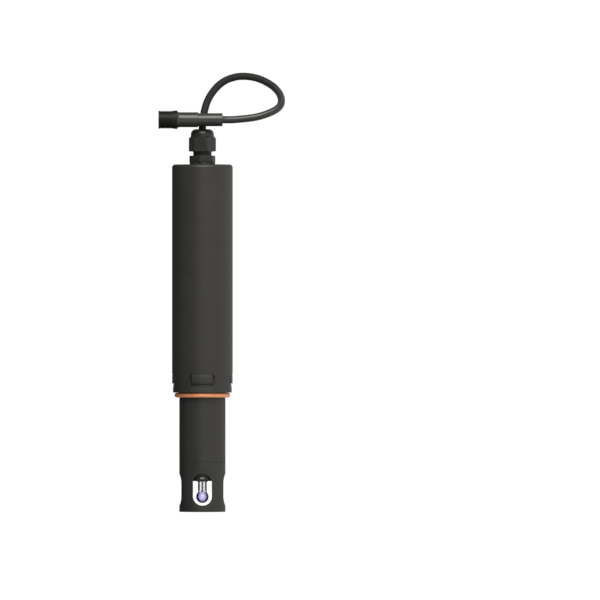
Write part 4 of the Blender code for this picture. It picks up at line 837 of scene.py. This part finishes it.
# %% Glass electrode
BULB_HEIGHT = 11.95
BULB_RADIUS = 4.95
STEM_RADIUS = 3.5
WAIST = 1.6
GLASS_WALL = 0.5
GLASS_TOP = 126.0
LIQUID_INSET = 0.48
LIQUID_TOP = 60.0
WELL_RADIUS = 0.58
WELL_START = 15.42
WIRE_RADIUS = 0.6
WIRE_START = 15.4
WIRE_TOP = 134.5


def blown(inset, top):
    """The outline of the bulb and stem from the lowest point up, set in from the outside."""
    ball = BULB_RADIUS - inset
    stem = STEM_RADIUS - inset
    fillet = WAIST + inset
    waist_angle = math.degrees(math.acos((stem + fillet) / (ball + fillet)))
    waist_height = BULB_HEIGHT + (ball + fillet) * math.sin(math.radians(waist_angle))
    outline = arc((0.0, BULB_HEIGHT), ball, -90.0, waist_angle, 28)
    outline[0] = (0.0, outline[0][1])
    outline += arc((stem + fillet, waist_height), fillet, 180.0 + waist_angle, 180.0, 8)[1:]
    return outline + [(stem, top)]


glass_outline = blown(0.0, GLASS_TOP) + blown(GLASS_WALL, GLASS_TOP)[::-1]
finished("glass_skin", turned(glass_outline), probe_frame, clear_glass, "glass_electrode")
liquid_outline = blown(LIQUID_INSET, LIQUID_TOP) + [
    (WELL_RADIUS, LIQUID_TOP), (WELL_RADIUS, WELL_START), (0.0, WELL_START)]
finished("buffer_skin", turned(liquid_outline, 48), probe_frame, buffer_liquid, "buffer_fill")
wire_outline = [(0.0, WIRE_START), (0.4, WIRE_START), (WIRE_RADIUS, 15.6),
                (WIRE_RADIUS, WIRE_TOP), (0.0, WIRE_TOP)]
finished("wire_skin", turned(wire_outline, 24), probe_frame, chlorided_wire, "silver_wire")

seal_outline = [(3.55, 24.2), (3.7, 24.1), (4.3, 24.1), (4.6, 24.4), (4.6, 30.8), (3.55, 30.8)]
finished("seal_skin", turned(seal_outline, 48), probe_frame, black_rubber, "stem_seal")

# %% [markdown]
# ## The cable gland
# Two hexagons of nylon: the body, screwed into the housing's top, and the domed nut that squeezes
# the seal. Corners of a hexagon nut are cut back by a cone, which draws the curved line on each
# face, so each hexagon is intersected with a turned shape that has the cones. Each is turned to
# where the photograph shows its corners.

# %% Gland body
FLATS = 19.0
CORNERS = FLATS / math.sqrt(3.0)
BEYOND_CORNERS = 1.03
BODY_TURN = math.radians(49.0)
NUT_TURN = math.radians(22.0)
THREAD_START = 285.0
THREAD_PITCH = 1.41
THREAD_RIDGES = 8
THREAD_RADIUS = 7.6
THREAD_ROOT = 7.15


def chamfered_hexagon(start, end, turn, low, high):
    """A hexagonal prism whose corners are cut back by a cone, a (radius, slope), at each end."""
    reach = BEYOND_CORNERS * CORNERS
    cones = turned([(0.0, start), (low[0], start), (reach, start + (reach - low[0]) * low[1]),
                    (reach, end - (reach - high[0]) * high[1]), (high[0], end), (0.0, end)])
    return worked(hexagon(FLATS, start, end, turn), "INTERSECT", cones)


body_shape = chamfered_hexagon(279.2, 284.8, BODY_TURN, (10.9, 1.0), (10.75, 0.5))
body_shape = softened(body_shape, 0.12, 50.0)
thread = [(0.0, 268.0), (THREAD_RADIUS, 268.0), (THREAD_RADIUS, THREAD_START)]
for ridge in range(THREAD_RIDGES):
    foot = THREAD_START + THREAD_PITCH * ridge
    thread += [(THREAD_RADIUS, foot + 0.2), (THREAD_ROOT, foot + 0.6),
               (THREAD_ROOT, foot + 0.8), (THREAD_RADIUS, foot + 1.2)]
thread += [(7.3, 296.5), (0.0, 296.5)]
body_shape = worked(body_shape, "UNION", turned(thread))
body_bore = turned([(0.0, 267.0), (4.0, 267.0), (4.0, 289.0), (5.9, 289.0), (5.9, 297.0),
                    (0.0, 297.0)])
body_shape = worked(body_shape, "DIFFERENCE", body_bore)
finished("gland_body_skin", body_shape, probe_frame, gland_nylon, "gland_body")

washer_outline = [(7.9, 277.85), (10.0, 277.85), (10.2, 278.1), (10.2, 278.9), (10.0, 279.15),
                  (7.9, 279.15)]
finished("washer_skin", turned(washer_outline), probe_frame, black_rubber, "gland_washer")

# %% Gland nut
nut_shape = chamfered_hexagon(288.2, 300.3, NUT_TURN, (10.3, 1.0), (9.3, 1.0))
nut_shape = softened(nut_shape, 0.35, 50.0, lambda spot: 290.0 < spot.z < 299.0)
dome = [(0.0, 300.0), (9.25, 300.0)] + arc((5.05, 301.9), 4.2, 0.0, 90.0, 14) + [(0.0, 306.1)]
nut_shape = worked(nut_shape, "UNION", turned(dome))
nut_bore = turned([(0.0, 288.0), (7.9, 288.0), (7.9, 298.0), (5.9, 300.0), (5.9, 301.6),
                   (3.25, 303.3), (3.25, 305.8), (3.55, 306.3), (0.0, 306.3)])
nut_shape = worked(nut_shape, "DIFFERENCE", nut_bore)
finished("gland_nut_skin", nut_shape, probe_frame, gland_nylon, "gland_nut", "nut")

# %% [markdown]
# ## The cable
# The cable is round and of medium stiffness. It comes straight out of the gland, sinks to the
# ground in one loop and climbs back to the connector, which lies across it just above the gland.
# The route is the CAD's own list of points, read as one smooth curve.

# %% Cable
CABLE_DIAMETER = 5.9
CABLE_ROUNDNESS = 8
ROUTE_STEPS = 7

cable_route = [
    (0.0, 0.2, AXIS_HEIGHT), (0.15, 4.4, AXIS_HEIGHT), (0.7, 9.4, 24.1), (1.7, 14.8, 22.6),
    (3.2, 20.3, 19.0), (5.0, 24.7, 14.6), (8.1, 29.8, 9.2), (12.9, 35.3, 5.1), (19.3, 39.7, 3.4),
    (27.3, 42.2, 3.1), (33.7, 42.6, 3.1), (40.1, 41.9, 3.1), (46.5, 40.1, 3.3), (52.9, 36.9, 4.6),
    (57.9, 33.2, 7.4), (61.6, 28.6, 11.9), (63.2, 23.6, 17.0), (62.4, 19.1, 21.6),
    (58.8, 15.5, 25.3), (52.9, 12.6, 28.2), (46.5, 10.4, 30.3), (40.1, 9.0, 31.6),
    (30.5, 7.9, 32.7), (23.9, 7.4, CONNECTOR_HEIGHT), (16.2, 7.4, CONNECTOR_HEIGHT),
]


def smooth_points(route, steps):
    """Points on one smooth curve through a route."""
    points = [Vector(point) for point in route]
    curve = []
    for index in range(len(points) - 1):
        before = points[max(index - 1, 0)]
        start, end = points[index], points[index + 1]
        after = points[min(index + 2, len(points) - 1)]
        reach = (end - start).length / 3.0
        leave = (end - before).normalized() * reach
        arrive = (after - start).normalized() * reach
        curve += interpolate_bezier(start, start + leave, end - arrive, end, steps)[:-1]
    return curve + [points[-1]]


cable_points = [Vector((x, PROBE_LENGTH / 2.0 + y, z)) * MM for x, y, z in cable_route]
cable_line = smooth_points(cable_points, ROUTE_STEPS)
cable_data = bpy.data.curves.new("cable_skin", "CURVE")
cable_data.dimensions = "3D"
cable_data.bevel_depth = CABLE_DIAMETER / 2.0 * MM
cable_data.bevel_resolution = CABLE_ROUNDNESS
cable_data.use_fill_caps = True
cable_spline = cable_data.splines.new("POLY")
cable_spline.points.add(len(cable_line) - 1)
for item, point in zip(cable_spline.points, cable_line):
    item.co = (*point, 1.0)
cable_data.materials.append(cable_jacket)
cable = bpy.data.objects.new("cable_skin", cable_data)
bpy.context.scene.collection.objects.link(cable)
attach(cable, "probe")
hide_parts("signal_cable")

tail = turned([(0.0, 284.0), (2.9, 284.0), (2.9, 306.5), (0.0, 306.5)], 48)
finished("cable_tail_skin", tail, probe_frame, cable_jacket, "cable_tail")

# %% [markdown]
# ## The connector
# A round moulded connector: a coupling ring with fine ribs round it, a thick sleeve and a slimmer
# one behind it, parted by a small step. All are spun round the connector's own axis. The contacts
# sit in a nose inside the coupling ring.

# %% Coupling ring
RIBS = 6
RIB_PITCH = 1.6
RIB_RADIUS = 7.15
GROOVE_RADIUS = 6.7

coupling_outline = [(6.0, -35.0), (6.95, -35.0), (RIB_RADIUS, -34.8), (RIB_RADIUS, -33.4)]
for rib in range(RIBS):
    foot = -33.2 + RIB_PITCH * rib
    coupling_outline += [(GROOVE_RADIUS, foot), (GROOVE_RADIUS, foot + 0.6),
                         (RIB_RADIUS, foot + 0.8), (RIB_RADIUS, foot + 1.4)]
coupling_outline += [(RIB_RADIUS, -22.6), (7.45, -21.4), (7.45, -20.3), (7.2, -20.0),
                     (4.3, -20.0), (4.3, -25.5), (6.0, -25.5)]
coupling_skin = finished("coupling_skin", turned(coupling_outline), connector_frame,
                         coupling_nylon, "connector_coupling", "coupling")

# %% Sleeves
front_outline = [(0.0, -18.2), (4.3, -18.2), (4.3, -19.9), (6.85, -19.9), (6.0, -18.7),
                 (6.0, -3.5), (5.85, -3.3), (0.0, -3.3)]
front_skin = finished("front_sleeve_skin", turned(front_outline), connector_frame, sleeve_rubber,
                      "connector_front_sleeve")
rear_outline = [(0.0, -3.4), (5.25, -3.4), (5.25, 15.8)]
rear_outline += arc((4.85, 15.8), 0.4, 0.0, 90.0, 6)[1:]
rear_outline += [(2.9, 16.2), (2.9, 16.4), (0.0, 16.4)]
rear_skin = finished("rear_sleeve_skin", turned(rear_outline), connector_frame, sleeve_rubber,
                     "connector_rear_sleeve")

# %% [markdown]
# ## The pieces inside
# The CAD shapes of the hidden pieces are right as they are, so they only get their finishes.

# %% Finishes on CAD pieces
CORES = (1, 2, 3, 4)
carried_over = {
    "cartridge_head": black_moulding, "latch_ring": black_moulding,
    "contact_socket": black_moulding, "gland_locknut": gland_nylon,
    "connector_insert": coupling_nylon, "head_o_ring_lower": black_rubber,
    "head_o_ring_upper": black_rubber, "gland_seal": black_rubber,
    "connector_o_ring": black_rubber,
    "reference_gel": reference_gel, "reference_electrode": silver, "temperature_sensor": steel,
    "input_shield": steel, "capacitor_1": steel, "capacitor_2": steel,
    "chamber_cap": white_moulding, "socket_ribbon": white_moulding,
    "board_carrier": white_moulding, "terminal_block": white_moulding,
    "circuit_board": laminate, "microcontroller": chip_resin, "transceiver_chip": chip_resin,
}
for number in CORES:
    carried_over[f"cartridge_lead_{number}"] = silver
    carried_over[f"cable_conductor_{number}"] = white_moulding
    carried_over[f"contact_pin_{number}"] = gold
    carried_over[f"connector_contact_{number}"] = gold
for node, finish in carried_over.items():
    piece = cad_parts[node]
    piece.data.materials.clear()
    piece.data.materials.append(finish)
print("nodes given a finish:", len(carried_over))

# %% [markdown]
# ## The cable's far end
# The connector's pieces, which sit on the cable's far end, are gathered in one list.

on_the_cable = [coupling_skin, front_skin, rear_skin, "connector_insert", "connector_o_ring"]
on_the_cable += [f"connector_contact_{number}" for number in CORES]
